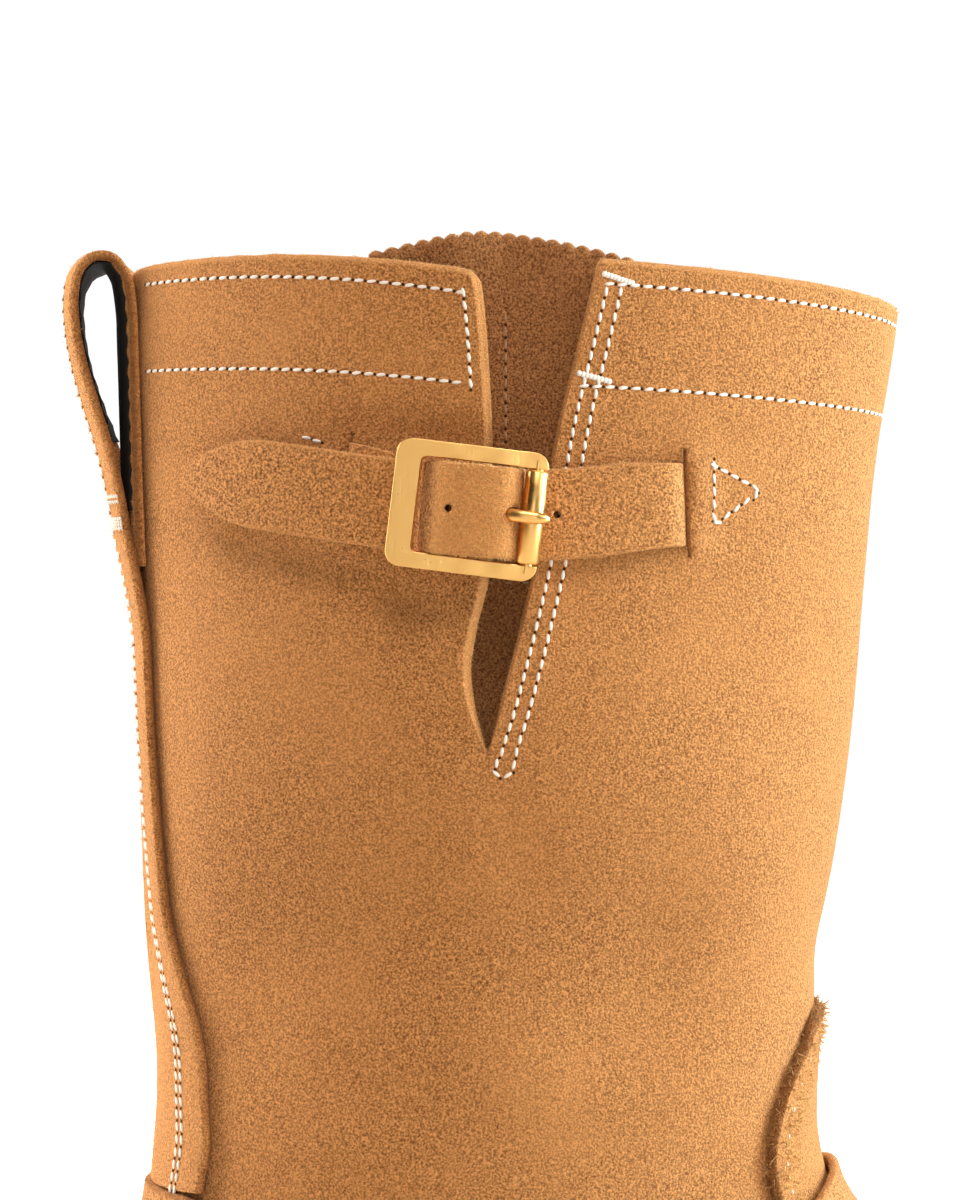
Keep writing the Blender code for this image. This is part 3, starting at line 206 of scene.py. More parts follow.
# Straps and buckles. along is measured from the buckle towards the toe, off outwards from the boot.
STRAP = 0.0022
STRAP_HALF = 0.0090
CHAPE_HALF = 0.0087
TAIL = 0.0013
CHAPE = 0.0014
FRAME_HALF_LONG = 0.0151
FRAME_HALF_TALL = 0.01275
FRAME_LEFT_BAR = 0.0050
FRAME_ARM = 0.0032
FRAME_LOW, FRAME_HIGH = 0.0051, 0.0073
FRAME_CORNER = 0.0030
FRAME_INNER_CORNER = 0.0012
Bar = namedtuple("Bar", "along off radius")
CENTRE_BAR = Bar(0.0, 0.0056, 0.0011)
ROLLER_BAR = Bar(0.0130, 0.0062, 0.00115)
ROLLER_OUTER, ROLLER_INNER = 0.0023, 0.0015
ProngPoint = namedtuple("ProngPoint", "along off wide high")
PRONG_ARM = [ProngPoint(*row) for row in (
    (0.0010, 0.0066, 0.00080, 0.00070), (0.0040, 0.0069, 0.00100, 0.00080),
    (0.0064, 0.0071, 0.00105, 0.00085), (0.0080, 0.0081, 0.00115, 0.00090),
    (0.0094, 0.0094, 0.00130, 0.00090), (0.0114, 0.0099, 0.00130, 0.00090),
    (0.0136, 0.0099, 0.00125, 0.00090), (0.0157, 0.0094, 0.00095, 0.00070),
    (0.0165, 0.0090, 0.00050, 0.00040),
)]
PRONG_RING = (0.0013, 0.0022)
PRONG_HALF = 0.0015
BUCKLE_ROLL = math.radians(-7.0)
TOP_BUCKLE_X = 0.0745
LINE_STEP = 0.002
SLOT_NEAR = 0.022
TOP_BILLET_LINE = [Height(*row) for row in (
    (0.0150, 0.2566), (0.0405, 0.2523), (0.0595, 0.2493), (0.0745, 0.2480), (0.0875, 0.2469),
    (0.0960, 0.2473), (0.1080, 0.2487), (0.1400, 0.2500),
)]
TOP_CHAPE_LINE = [Height(*row) for row in (
    (0.0300, 0.2560), (0.0510, 0.2528), (0.0640, 0.2490), (0.0745, 0.2480), (0.0850, 0.2471),
)]
PathPoint = namedtuple("PathPoint", "along off thick half", defaults=(STRAP, STRAP_HALF))
TOP_BILLET = [PathPoint(*row) for row in (
    (0.0580, -0.0033, TAIL, STRAP_HALF), (0.0459, -0.0033, TAIL, 0.0084),
    (0.0438, -0.0022, TAIL, 0.0084), (0.0419, 0.0006, TAIL, 0.0084), (0.0392, 0.0016, STRAP, 0.0085),
    (0.0280, 0.0018), (0.0190, 0.0018), (0.0135, 0.0016), (0.0108, 0.0019), (0.0095, 0.0032),
    (0.0090, 0.0055), (0.0081, 0.0080), (0.0056, 0.0095), (0.0010, 0.0098), (-0.0030, 0.0095),
    (-0.0062, 0.0069), (-0.0085, 0.0044), (-0.0099, 0.0036), (-0.0150, 0.0034), (-0.0320, 0.0037),
    (-0.0410, 0.0035), (-0.0442, 0.0034, STRAP, 0.0087), (-0.0490, 0.0032, STRAP, 0.0072),
    (-0.0521, 0.0031, STRAP, 0.0055), (-0.0548, 0.0029, STRAP, 0.0036),
    (-0.0572, 0.0028, STRAP, 0.0006),
)]
CHAPE_FOLD = [PathPoint(*row, CHAPE, CHAPE_HALF) for row in (
    (-0.0125, 0.0011), (-0.0065, 0.0018), (-0.0025, 0.0030), (0.0004, 0.00358), (0.0016, 0.00430),
    (0.00206, 0.0056), (0.0016, 0.00690), (0.0004, 0.00762), (-0.0025, 0.0069), (-0.0052, 0.0050),
)]
TOP_CHAPE = [PathPoint(*row) for row in (
    (-0.0400, -0.0033, TAIL, CHAPE_HALF), (-0.0284, -0.0033, TAIL, CHAPE_HALF),
    (-0.0263, -0.0022, TAIL, CHAPE_HALF), (-0.0242, 0.0006, TAIL, CHAPE_HALF),
    (-0.0212, 0.0011, CHAPE, CHAPE_HALF), *CHAPE_FOLD,
)]
Slot = namedtuple("Slot", "line along across slit slit_across")
SLOTS = [
    Slot(TOP_BILLET_LINE, (0.0387, 0.0441), (-0.0086, 0.0086), (0.0431, 0.0441), (-0.0108, 0.0112)),
    Slot(TOP_CHAPE_LINE, (-0.0266, -0.0212), (-0.0089, 0.0089), (-0.0266, -0.0256), (-0.0096, 0.0108)),
]
INSTEP_CENTRE = Vector((0.1087, 0.0, 0.0551))
INSTEP_RISE = math.radians(45.0)
INSTEP_BUCKLE = math.radians(36.0)
INSTEP_SEAT, INSTEP_FLAT_SEAT = 0.0030, 0.0038
INSTEP_FROM, INSTEP_TO = math.radians(-24.0), math.radians(204.0)
INSTEP_ANGLES = 140
INSTEP_LOOK = 0.05
INSTEP_FLAT, INSTEP_LAID = 0.0180, 0.0300
INSTEP_TIP = [PathPoint(*row) for row in (
    (-0.0105, 0.0035), (-0.0150, 0.0035), (-0.0225, 0.0036), (-0.0285, 0.0038, STRAP, 0.0072),
    (-0.0318, 0.0038, STRAP, 0.0040), (-0.0340, 0.0038, STRAP, 0.0006),
)]
INSTEP_CHAPE_ANCHOR = [PathPoint(*row, CHAPE, CHAPE_HALF) for row in (
    (-0.0310, 0.0011), (-0.0200, 0.0011),
)]
INSTEP_BILLET_LENGTH = 0.140
INSTEP_BILLET_STEP = 0.0075
INSTEP_BILLET_FROM, INSTEP_BILLET_OFF = 0.0270, 0.0014
PAST_ROLLER = (-0.0090, 0.0200)

# Creases of the worn leather: a line seen from the side, how deep it is and how wide. Ridges are above zero.
Crease = namedtuple("Crease", "sides line depth width")
BOTH = (LATERAL, MEDIAL)
CREASES = [
    Crease((LATERAL,), [(0.1196, 0.2415), (0.1206, 0.2500), (0.1196, 0.2585)], 0.0013, 0.0032),
    Crease((LATERAL,), [(0.0480, 0.2430), (0.0486, 0.2630)], 0.0007, 0.0040),
    Crease((LATERAL,), [(0.0745, 0.2060), (0.0725, 0.2180), (0.0738, 0.2290)], 0.0008, 0.0045),
    Crease((LATERAL,), [(0.0785, 0.1985), (0.0800, 0.1860), (0.0860, 0.1740)], -0.0006, 0.0060),
    Crease((LATERAL,), [(0.0500, 0.2642), (0.0640, 0.2632), (0.0770, 0.2622)], -0.0021, 0.0055),
    Crease((LATERAL,), [(0.0300, 0.2430), (0.0450, 0.2365), (0.0640, 0.2300)], -0.0018, 0.0060),
    Crease((LATERAL,), [(0.0900, 0.2300), (0.1100, 0.2220), (0.1300, 0.2200)], -0.0006, 0.0100),
    Crease((LATERAL,), [(0.0340, 0.1560), (0.0700, 0.1610), (0.1060, 0.1560)], -0.0050, 0.0230),
    Crease(BOTH, [(0.1500, 0.1560), (0.1250, 0.1450), (0.1000, 0.1400)], -0.0008, 0.0080),
    Crease(BOTH, [(0.1480, 0.1440), (0.1200, 0.1310), (0.0850, 0.1260)], 0.0007, 0.0070),
    Crease(BOTH, [(0.0200, 0.1350), (0.0400, 0.1300), (0.0620, 0.1320)], -0.0007, 0.0080),
    Crease(BOTH, [(0.1250, 0.1120), (0.1050, 0.1000), (0.0900, 0.0860)], -0.0009, 0.0060),
    Crease(BOTH, [(0.2020, 0.0760), (0.1960, 0.0560), (0.1930, 0.0380)], -0.0009, 0.0040),
    Crease(BOTH, [(0.2110, 0.0740), (0.2060, 0.0540), (0.2040, 0.0360)], 0.0006, 0.0045),
    Crease(BOTH, [(0.2190, 0.0700), (0.2150, 0.0520), (0.2130, 0.0340)], -0.0008, 0.0040),
]
UNEVEN_SIZE, UNEVEN_DEPTH = 0.034, 0.0005

# Mesh sizes
CELL = 0.0024
ROW_STEP = 0.05
ROW_TURNS = (0.0, -1.5, -2.9, 2.9)
NORMAL_TURN, NORMAL_ROW = 0.012, 0.02
LATERAL_COLUMNS, MEDIAL_COLUMNS = 44, 60
VAMP_COLUMNS = 96
COUNTER_COLUMNS = 44
GUSSET_COLUMNS, GUSSET_ROWS = 130, 44
FIRST_ROWS = (0.0, 0.01, 0.03, 0.06)
AFTER_FIRST_ROWS = 0.1
FINE_EDGE = (0.0, 0.0004, 0.0010, 0.0019, 0.0032)
CLEAR_OF_FINE = 1.4
STRAP_STEP = 0.0009

# Rounding of a cut edge from the outer face to the inner: share of the way, and how far it bulges
EDGE_PROFILE = [(0.12, 0.55), (0.32, 0.95), (0.5, 1.0), (0.68, 0.95), (0.88, 0.55)]
# The rear panel's cut edge shows its two layers of leather, with a groove between them
TWO_LAYERS = [(0.16, 0.55), (0.40, 0.60), (0.50, -0.9), (0.60, 0.60), (0.84, 0.55)]

# Where the upper's edges are: in a vertex layer of the open skin
PLAIN, RIM, REAR_SLIT, FRONT_SLIT = 0, 1, 2, 3
SHAFT_ROW_DEPTH = 0.0425
STRIP_WIDTH = 0.095
SLIT_SLANT = 0.0016
SLIT_FOOT = 0.0109
CORNER = 0.0017
CORNER_HEIGHT = 0.006
# How far above the welt each layer of the upper ends, and how much of an open edge counts as one
UPPER_LIFT, UPPER_TOE_LIFT = -0.0002, 0.0004
OVERLAY_LIFT, VAMP_TOE_LIFT = 0.0006, 0.0012
OPEN_EDGE = 0.01
COUNTER_WIDTH = 0.06

# Raw edges and painted highlight: where loose fibres stand on the vamp, and where the strap is painted pale
# as a highlight where it stands highest
FRAYED_FROM, FRAYED_WIDE, FRAYED_TONE = 0.060, 0.0065, 0.3
HIGHLIGHT_FROM, HIGHLIGHT_OVER, HIGHLIGHT_TONE = 0.0070, 0.0020, 1.3
# Straps' cut edges painted paler: partly their paler core, partly painted highlight where the edges catch the
# light
EDGE_TONE_AND_HIGHLIGHT = 0.6

# Leather pieces with raw edges: fibres to the square metre of edge, the longest of them and their width
RAW_EDGES = [("upper_leather", 5e6, 0.0009, 0.0001), ("vamp_leather", 5e6, 0.0030, 0.00022),
             ("counter_leather", 6e6, 0.0014, 0.0001), ("back_stay_and_loop", 2e6, 0.0009, 0.0001),
             ("gusset_leather", 9e6, 0.0007, 0.0001), ("top_billet_leather", 7e6, 0.0008, 0.0001),
             ("top_chape_leather", 7e6, 0.0008, 0.0001), ("instep_billet_leather", 7e6, 0.0008, 0.0001)]
FIBRE_SPREAD = 0.9

# Back stay, pull loop and the loop's woven tape
STAY_ACROSS = 15
# Tones of the stay's and loop's dark cut edges, made darkest towards the boot as painted shade, and of their
# outer face, made paler as painted light
STAY_TONE, STAY_FACE_PAINTED_LIGHT = -0.9, 0.35
LOOP_LEAVES = 0.0080
LOOP_STATIONS = 110
STAY_STEP = 0.0025
TAPE_GAP = 0.0001
TAPE_HALF = 0.0092
TAPE_THICK = 0.0005
TAPE_SCALLOP, TAPE_PITCH = 0.0009, 0.0046
TAPE_FROM, TAPE_TO = 0.012, 0.112

# Holes in the straps, brass and sole
PUNCH_RADIUS = 0.00075
TOP_PUNCHES = (-0.0030, 0.0172)
PRONG_SLOT, RING_SLOT = (0.0086, 0.0016, 0.0014), (0.0010, 0.0050, 0.0020)
STRAP_REACH = (-0.0010, 0.0130)
BRASS_BEVEL = 0.00055
ROLLER_SIDES = 40
BRASS_SMOOTH = 50
PRONG_STATIONS, PRONG_SIDES, RING_SIDES, BAR_SIDES = 36, 16, 28, 24
ROLLER_CHAMFER, RING_CHAMFER = 0.0004, 0.0003
BREAST_CORNER = 0.004
LIFT_GROOVE = 0.0004
WELT_EDGE = 0.0006
SOLE_EDGE, OUTSOLE_EDGE, LIFT_EDGE = 0.0005, 0.0008, 0.0007

# Seams, drawn from the side or as distances from an edge
STAY_MARGIN = 0.0125
REAR_ROWS = ((0.0042, 0.0030), (0.0234, 0.0214))
REAR_INSET = 0.0038
FRONT_ROWS = ((0.0039, 0.0031), (0.0245, 0.0222))
SLIT_ROWS = (0.0026, 0.0055)
SLIT_TURN = [(0.0790, 0.1962), (0.0800, 0.1948), (0.0818, 0.1946), (0.0830, 0.1956)]
TRIANGLE = [(0.1237, 0.2571), (0.1335, 0.2522), (0.1237, 0.2451), (0.1237, 0.2571)]
GUSSET_SEAMS = [[(0.0817, 0.2870), (0.0817, 0.2633)], [(0.0785, 0.2335), (0.0858, 0.2335)]]
LOOP_TACKS = (0.0082, 0.0089, 0.0096, 0.0103, 0.0140, 0.0152)
HIDDEN_HOLE = 0.0002
RIM_TACK = [(0.1013, 0.2950), (0.1069, 0.2932)]
SLIT_TACK = [(0.0963, 0.2752), (0.1023, 0.2736)]
SPOT_STITCH = [(0.0413, 0.2629), (0.0434, 0.2622)]
STAY_SEAMS = (0.0050, 0.0062)
VAMP_SEAM = 0.0033
COUNTER_SEAMS = (0.0032, 0.0058)
WELT_SEAM = 0.0030

# Looks: sizes of patches and bumps, and each roughout leather's contrast and share of paler patches
HANDLED_PATCH = 1 / 30
PORE, TONE_PATCH, SOLE_LINE = 1 / 900, 1 / 60, 1 / 1600
BRUSH_MARK, BRASS_CLOUD = 1 / 3200, 1 / 260
FINE_BUMP, BRUSH_BUMP = 0.0001, 0.00005
BODY_NAP, STRAP_NAP, GUSSET_NAP, FIBRE_NAP = (0.6, 0.45), (0.68, 0.25), (0.65, 0.15), (0.45, 0.3)
FIBRE_SHADE = 1.7

# Stage
CAMERA_AT = Vector((-0.0645, -0.5488, 0.2300))
CAMERA_SENSOR = 36.0
BACKDROP_RADIUS = 1.6
BACKDROP_HEIGHT = 2.4
FLOOR_RADIUS = 2.5
FLOOR_UNDER, BACKDROP_UNDER = 0.0002, 0.001
# The floor turns white between these two places behind the boot
SWEEP = (0.20, 0.40)
WHITE = (1.0, 1.0, 1.0, 1.0)
AIM = (-0.06, 0.0, 0.20)
ROOM_LIGHT = 0.012
# Softboxes: name, place, size, the power it takes, what share of it, and tint
SOFTBOXES = [
    ("key softbox", (0.05, -0.80, 1.32), (0.5, 0.5), "key", 1.0, "FFF5F1"),
    ("side key softbox", (0.95, -0.70, 0.90), (0.4, 0.4), "key", 0.36, "FFF5F1"),
    ("left softbox", (-0.80, 0.25, 0.45), (0.5, 0.9), "fill", 1.0, "FFFFFF"),
    ("right softbox", (1.05, -0.05, 0.45), (0.5, 0.9), "fill", 2.15, "D9F0FF"),
    ("front softbox", (-0.05, -1.25, 0.30), (0.5, 0.5), "front", 1.0, "FFFFFF"),
]


def sloped(knots, values, slopes, at):
    """A curve through the values with the slope that is given at each."""
    i = int(np.clip(np.searchsorted(knots, at, side="right") - 1, 0, len(knots) - 2))
    gap = knots[i + 1] - knots[i]
    t = (min(max(at, knots[0]), knots[-1]) - knots[i]) / gap
    return ((1 + 2 * t) * (1 - t) ** 2 * values[i] + t * (1 - t) ** 2 * gap * slopes[i]
            + t * t * (3 - 2 * t) * values[i + 1] + t * t * (t - 1) * gap * slopes[i + 1])


def monotone(knots, values, at):
    """A smooth curve through the values that never overshoots them and stays flat where they are flat."""
    knots, values = np.asarray(knots, float), np.asarray(values, float)
    gaps = np.diff(knots)
    rises = np.diff(values) / gaps
    slopes = np.zeros(len(values))
    slopes[0], slopes[-1] = rises[0], rises[-1]
    for i in range(1, len(rises)):
        before, after = rises[i - 1], rises[i]
        if before * after > 0:
            near, far = 2 * gaps[i] + gaps[i - 1], gaps[i] + 2 * gaps[i - 1]
            slopes[i] = (near + far) / (near / before + far / after)
    return sloped(knots, values, slopes, at)


def column(table, knot, name, at):
    """A table's column read at a place between its rows."""
    return monotone([getattr(row, knot) for row in table], [getattr(row, name) for row in table], at)


@lru_cache(maxsize=None)
def feather_z(x):
    """Height of the last's lower edge."""
    return column(FEATHER, "x", "z", x)


def underside_half(x, side):
    """Half-width of the last's underside, with a round heel and a round toe."""
    half = column(UNDERSIDE, "x", SIDE_NAMES[side], x)
    if x < HEEL_BACK + HEEL_RADIUS:
        half *= math.sqrt(max(0.0, 1 - (1 - (x - HEEL_BACK) / HEEL_RADIUS) ** 2))
    if x > LAST_LENGTH - TOE_RADIUS:
        reach = min(1.0, (x - LAST_LENGTH + TOE_RADIUS) / TOE_RADIUS)
        half *= (1 - reach**TOE_SQUARENESS) ** (1 / TOE_SQUARENESS)
    return half


def signed_power(value, power):
    """A power that keeps the value's sign."""
    return math.copysign(abs(value) ** power, value)


def both_tables(shaft, foot, row):
    """A column of the shaft's table, carried on by one of the foot's."""
    values = [getattr(r, shaft) for r in SHAFT] + [getattr(r, foot) for r in FOOT]
    return monotone(range(LAST_ROW + 1), values, row)


class Section:
    """One cut through the upper, from its front or ridge point to the back seam or the sole."""

    def __init__(self, row):
        self.row = row
        rows = range(LAST_ROW + 1)
        front_x, front_z = both_tables("front_x", "ridge_x", row), both_tables("front_z", "ridge_z", row)
        self.front = Vector((front_x, 0, front_z))
        self.half = {side: both_tables(name, name, row) for side, name in SIDE_NAMES.items()}
        self.ridge_y = monotone(rows, [0.0] * len(SHAFT) + [r.ridge_y for r in FOOT], row)
        self.crown = monotone(rows, [r.crown for r in SHAFT] + [0.0] * len(FOOT), row)
        self.back_full = monotone(rows, [r.full for r in SHAFT] + [FOOT_FULL] * len(FOOT), row)
        if row <= HEEL_ROW:
            shaft_rows = range(HEEL_ROW + 1)
            back_x = monotone(shaft_rows, [r.back_x for r in SHAFT], row)
            back_z = monotone(shaft_rows, [r.back_z for r in SHAFT], row)
            self.end = Vector((back_x, 0, back_z))
            self.edge = {LATERAL: 0.0, MEDIAL: 0.0}
        else:
            foot_rows = range(HEEL_ROW, LAST_ROW + 1)
            sole_x = monotone(foot_rows, [HEEL_BACK] + [r.sole_x for r in FOOT], row)
            middle = (HEEL_BACK + LAST_LENGTH) / 2
            tucked = middle + TUCK_LONG * (sole_x - middle)
            self.end = Vector((tucked, 0, feather_z(tucked) - DROP))
            self.edge = {side: TUCK_WIDE * underside_half(sole_x, side) for side in BOTH}
        for side in BOTH:
            self.half[side] = max(self.half[side], EDGE_MARGIN * self.edge[side])
        self.last = {side: self.last_angle(side) for side in BOTH}

    def last_angle(self, side):
        """Angle round the section at which it meets the back seam or the sole's edge."""
        share = self.edge[side] / self.half[side] if self.half[side] > 0 else 0.0
        return math.pi - math.asin(min(1.0, share ** (self.back_full / 2)))

    def depth(self, angle):
        """How far back from the front an angle lies, with 1 at the widest place."""
        full = FULLNESS if angle < math.pi / 2 else self.back_full
        return 1 - signed_power(math.cos(angle), 2 / full)

    def point(self, angle, side):
        """A point of the skin, at an angle from the front."""
        share = self.depth(angle) / self.depth(self.last[side])
        full = FULLNESS if angle < math.pi / 2 else self.back_full
        lift = self.crown * math.sin(angle) ** 2
        y = self.ridge_y * (1 - share) + side * self.half[side] * abs(math.sin(angle)) ** (2 / full)
        return self.front.lerp(self.end, share) + Vector((0, y, lift))

    def angle_at(self, x, side):
        """The angle whose point lies at x, for a section of the shaft."""
        share = (self.front.x - x) / (self.front.x - self.end.x)
        depth = share * self.depth(self.last[side])
        full = FULLNESS if depth < 1 else self.back_full
        return math.acos(max(-1.0, min(1.0, signed_power(1 - depth, full / 2))))


@lru_cache(maxsize=None)
def kept_section(row):
    return Section(row)


def section_at(row):
    """The section at a row, made once."""
    return kept_section(round(row, 6))


def skin(row, turn):
    """The upper's outer face. turn is the angle from the front, below zero on the lateral side."""
    section = section_at(row)
    if turn < 0:
        return section.point(-turn, LATERAL)
    if turn > section.last[MEDIAL]:
        return section.point(section.last[LATERAL] - (turn - section.last[MEDIAL]), LATERAL)
    return section.point(turn, MEDIAL)


def skin_normal(row, turn):
    """The direction outwards from the skin."""
    around = skin(row, turn + NORMAL_TURN) - skin(row, turn - NORMAL_TURN)
    low, high = max(0.0, row - NORMAL_ROW), min(LAST_ROW, row + NORMAL_ROW)
    down = skin(high, turn) - skin(low, turn)
    return down.cross(around).normalized()


def crease_depth(point):
    """How far the creases and the leather's own unevenness move a point of the skin."""
    side = LATERAL if point.y < 0 else MEDIAL
    moved = UNEVEN_DEPTH * noise.noise(point / UNEVEN_SIZE)
    here = Vector((point.x, point.z))
    for crease in CREASES:
        if side not in crease.sides:
            continue
        nearest = 1.0
        for a, b in zip(crease.line, crease.line[1:]):
            start, run = Vector(a), Vector(b) - Vector(a)
            share = max(0.0, min(1.0, (here - start).dot(run) / run.length_squared))
            nearest = min(nearest, (here - start - run * share).length)
        if nearest < 3 * crease.width:
            moved += crease.depth * math.exp(-((nearest / crease.width) ** 2))
    return moved


def worn_skin(row, turn, off=0.0):
    """A point off the creased skin, and the direction outwards there."""
    point, normal = skin(row, turn), skin_normal(row, turn)
    return point + normal * (crease_depth(point) + off), normal


def bisect(low, high, inside):
    """The place between low, which is inside, and high, which isn't, where inside ends."""
    for _ in range(26):
        middle = (low + high) / 2
        if inside(middle):
            low = middle
        else:
            high = middle
    return low


def sole_angle(section, side, rise):
    """Angle at which a section comes down to the welt, or its last one."""
    def above(angle):
        point = section.point(angle, side)
        return point.z > feather_z(round(point.x, 5)) + rise
    last = section.last[side]
    return last if above(last) else bisect(0.0, last, above)


def toe_row(rise):
    """The row at which the ridge comes down to the welt at the toe."""
    def above(row):
        point = skin(row, 0.0)
        return point.z > feather_z(round(point.x, 5)) + rise
    return bisect(LAST_ROW - 2, LAST_ROW, above)


def slit_angles(section):
    """Angles of the slit's left and right edges. Below the slit both are one line down the boot."""
    if section.row > ANKLE_ROW:
        ankle = section_at(ANKLE_ROW)
        share = ankle.angle_at(SLIT[0].left_x, LATERAL) / ankle.last[LATERAL]
        angle = share * section.last[LATERAL]
        return angle, angle
    middle = section.point(section.angle_at(SLIT[0].left_x, LATERAL), LATERAL)
    if section.row >= SLIT_ROW:
        left, right = SLIT[0].left_x, SLIT[0].right_x
    else:
        left, right = column(SLIT, "z", "left_x", middle.z), column(SLIT, "z", "right_x", middle.z)
    return section.angle_at(left, LATERAL), section.angle_at(right, LATERAL)


def panel_drop(point, edge_x):
    """How far the strap pulls down the rear panel's corner beside the slit."""
    near = max(0.0, 1 - (edge_x - point.x) / PANEL_REACH)
    high = max(0.0, (point.z - SLIT[0].z) / (SLIT[-1].z - SLIT[0].z))
    return PANEL_DROP * near**2 * high**2


def skin_rows(first, last):
    """Row numbers about a cell apart from one section of the tables to another."""
    rows = [first]
    while rows[-1] < last - 1e-6:
        here = rows[-1]
        ahead = min(here + ROW_STEP, last)
        move = max((skin(ahead, t) - skin(here, t)).length for t in ROW_TURNS)
        rows.append(min(here + (ahead - here) * CELL / max(move, 1e-6), last))
    return rows


def spread(low, high, count, fine=FINE_EDGE, ends=(True, True)):
    """Places from low to high, closer together at the ends where an edge is to be rounded."""
    sign = 1 if high > low else -1
    places = list(np.linspace(low, high, count + 1))
    clear = fine[-1] * CLEAR_OF_FINE
    if ends[0]:
        places = [low + sign * f for f in fine] + [p for p in places if abs(p - low) > clear]
    if ends[1]:
        places = [p for p in places if abs(p - high) > clear] + [high - sign * f for f in reversed(fine)]
    return places


class Piece:
    """Points, faces, edge tones and finishes of a piece in the last frame, until it becomes an object."""

    def __init__(self):
        self.points, self.faces, self.tones, self.finishes = [], [], [], []

    def add(self, point, tone=0.0):
        self.points.append(Vector(point))
        self.tones.append(tone)
        return len(self.points) - 1

    def face(self, ring, finish=0):
        ring = list(dict.fromkeys(ring))
        if len(ring) > 2:
            self.faces.append(ring)
            self.finishes.append(finish)

    def lattice(self, grid, finish=0):
        for above, below in zip(grid, grid[1:]):
            for j in range(len(above) - 1):
                self.face((above[j], below[j], below[j + 1], above[j + 1]), finish)

    def rings(self, rings, tones, finish=0, capped=True):
        """Closed rings of points in a row, joined, with flat ends."""
        grid = [[self.add(p, t) for p, t in zip(ring, tones)] for ring in rings]
        count = len(grid[0])
        for a, b in zip(grid, grid[1:]):
            for k in range(count):
                self.face((a[k], a[(k + 1) % count], b[(k + 1) % count], b[k]), finish)
        if capped:
            self.face(grid[0][::-1], finish)
            self.face(grid[-1], finish)
        return grid


def finish_object(name, piece, materials, smooth_angle=40, merge=1e-6):
    """A piece as an object at the origin, its faces outwards, with its edge tones as an attribute."""
    mesh = bpy.data.meshes.new(name)
    mesh.from_pydata([tuple(Vector(p) + LAST_TO_FRAME) for p in piece.points], [], piece.faces)
    for material in materials:
        mesh.materials.append(material)
    mesh.polygons.foreach_set("material_index", piece.finishes)
    tones = mesh.attributes.new("edge", "FLOAT", "POINT")
    tones.data.foreach_set("value", np.asarray(piece.tones, np.float32))
    shape = bmesh.new()
    shape.from_mesh(mesh)
    bmesh.ops.remove_doubles(shape, verts=shape.verts, dist=merge)
    bmesh.ops.recalc_face_normals(shape, faces=shape.faces)
    shape.to_mesh(mesh)
    shape.free()
    mesh.shade_smooth()
    mesh.set_sharp_from_angle(angle=math.radians(smooth_angle))
    made = bpy.data.objects.new(name, mesh)
    bpy.context.scene.collection.objects.link(made)
    return made


def settle(made, slot, *nodes):
    """Hands a finished object over to the frame."""
    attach(made, "root")
    if nodes:
        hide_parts(*nodes)
    return made


def with_modifiers(made):
    """The object with its modifiers turned into plain mesh."""
    graph = bpy.context.evaluated_depsgraph_get()
    mesh = bpy.data.meshes.new_from_object(made.evaluated_get(graph))
    made.modifiers.clear()
    old = made.data
    made.data = mesh
    mesh.name = made.name
    bpy.data.meshes.remove(old)
    return made


def walled(piece, shape, layer, thick, edge_at, finish=(0, 0)):
    """Gives an open skin its thickness and a rounded edge.

    The layer holds each vertex's direction outwards. edge_at(vertex) gives the edge's profile, bulge, how far
    the inner face runs on past the outer one, and its tone.
    """
    shape.verts.index_update()
    outward = [Vector(v[layer]).normalized() for v in shape.verts]
    outer = [piece.add(v.co) for v in shape.verts]
    out_at = {}
    for edge in shape.edges:
        if not edge.is_boundary:
            continue
        run = (edge.verts[1].co - edge.verts[0].co).normalized()
        away = (edge.verts[0].co + edge.verts[1].co) / 2 - edge.link_faces[0].calc_center_median()
        away -= run * away.dot(run)
        for v in edge.verts:
            out_at[v.index] = out_at.get(v.index, Vector()) + away.normalized()
    inner, middle = [], {}
    for v in shape.verts:
        inside = v.co - outward[v.index] * thick
        if v.index in out_at:
            out = out_at[v.index]
            out -= outward[v.index] * out.dot(outward[v.index])
            out.normalize()
            profile, bulge, slant, tone = edge_at(v)
            inside += out * slant
            piece.tones[outer[v.index]] = 0.5 * tone
            line = []
            for share, reach in profile:
                line.append(piece.add(v.co.lerp(inside, share) + out * bulge * reach, tone))
            middle[v.index] = line
        inner.append(piece.add(inside))
    for face in shape.faces:
        ring = [v.index for v in face.verts]
        piece.face([outer[i] for i in ring], finish[0])
        piece.face([inner[i] for i in reversed(ring)], finish[1])
    for edge in shape.edges:
        if edge.is_boundary:
            loop = edge.link_loops[0]
            a, b = loop.vert.index, loop.link_loop_next.vert.index
            near = [outer[a], *middle[a], inner[a]]
            far = [outer[b], *middle[b], inner[b]]
            for k in range(len(near) - 1):
                piece.face((far[k], near[k], near[k + 1], far[k + 1]), finish[0])


def ragged(point, share, size=0.0016):
    """How far a raw cut edge bulges at a place, about 1."""
    return 1 + share * noise.noise(point / size)


def open_mesh(grids, merge=1e-5):
    """An open mesh of grids of (point, normal, kind of edge), with normal and kind as vertex layers."""
    shape = bmesh.new()
    layers = {"outward": shape.verts.layers.float_vector.new("outward"),
              "kind": shape.verts.layers.float.new("kind")}
    for grid in grids:
        rows = []
        for line in grid:
            row = []
            for point, normal, kind in line:
                v = shape.verts.new(point)
                v[layers["outward"]] = normal
                v[layers["kind"]] = kind
                row.append(v)
            rows.append(row)
        for above, below in zip(rows, rows[1:]):
            for j in range(len(above) - 1):
                shape.faces.new((above[j], below[j], below[j + 1], above[j + 1]))
    bmesh.ops.remove_doubles(shape, verts=shape.verts, dist=merge)
    bmesh.ops.dissolve_degenerate(shape, edges=shape.edges, dist=merge)
    loose = [v for v in shape.verts if not v.link_faces]
    bmesh.ops.delete(shape, geom=loose, context="VERTS")
    return shape, layers


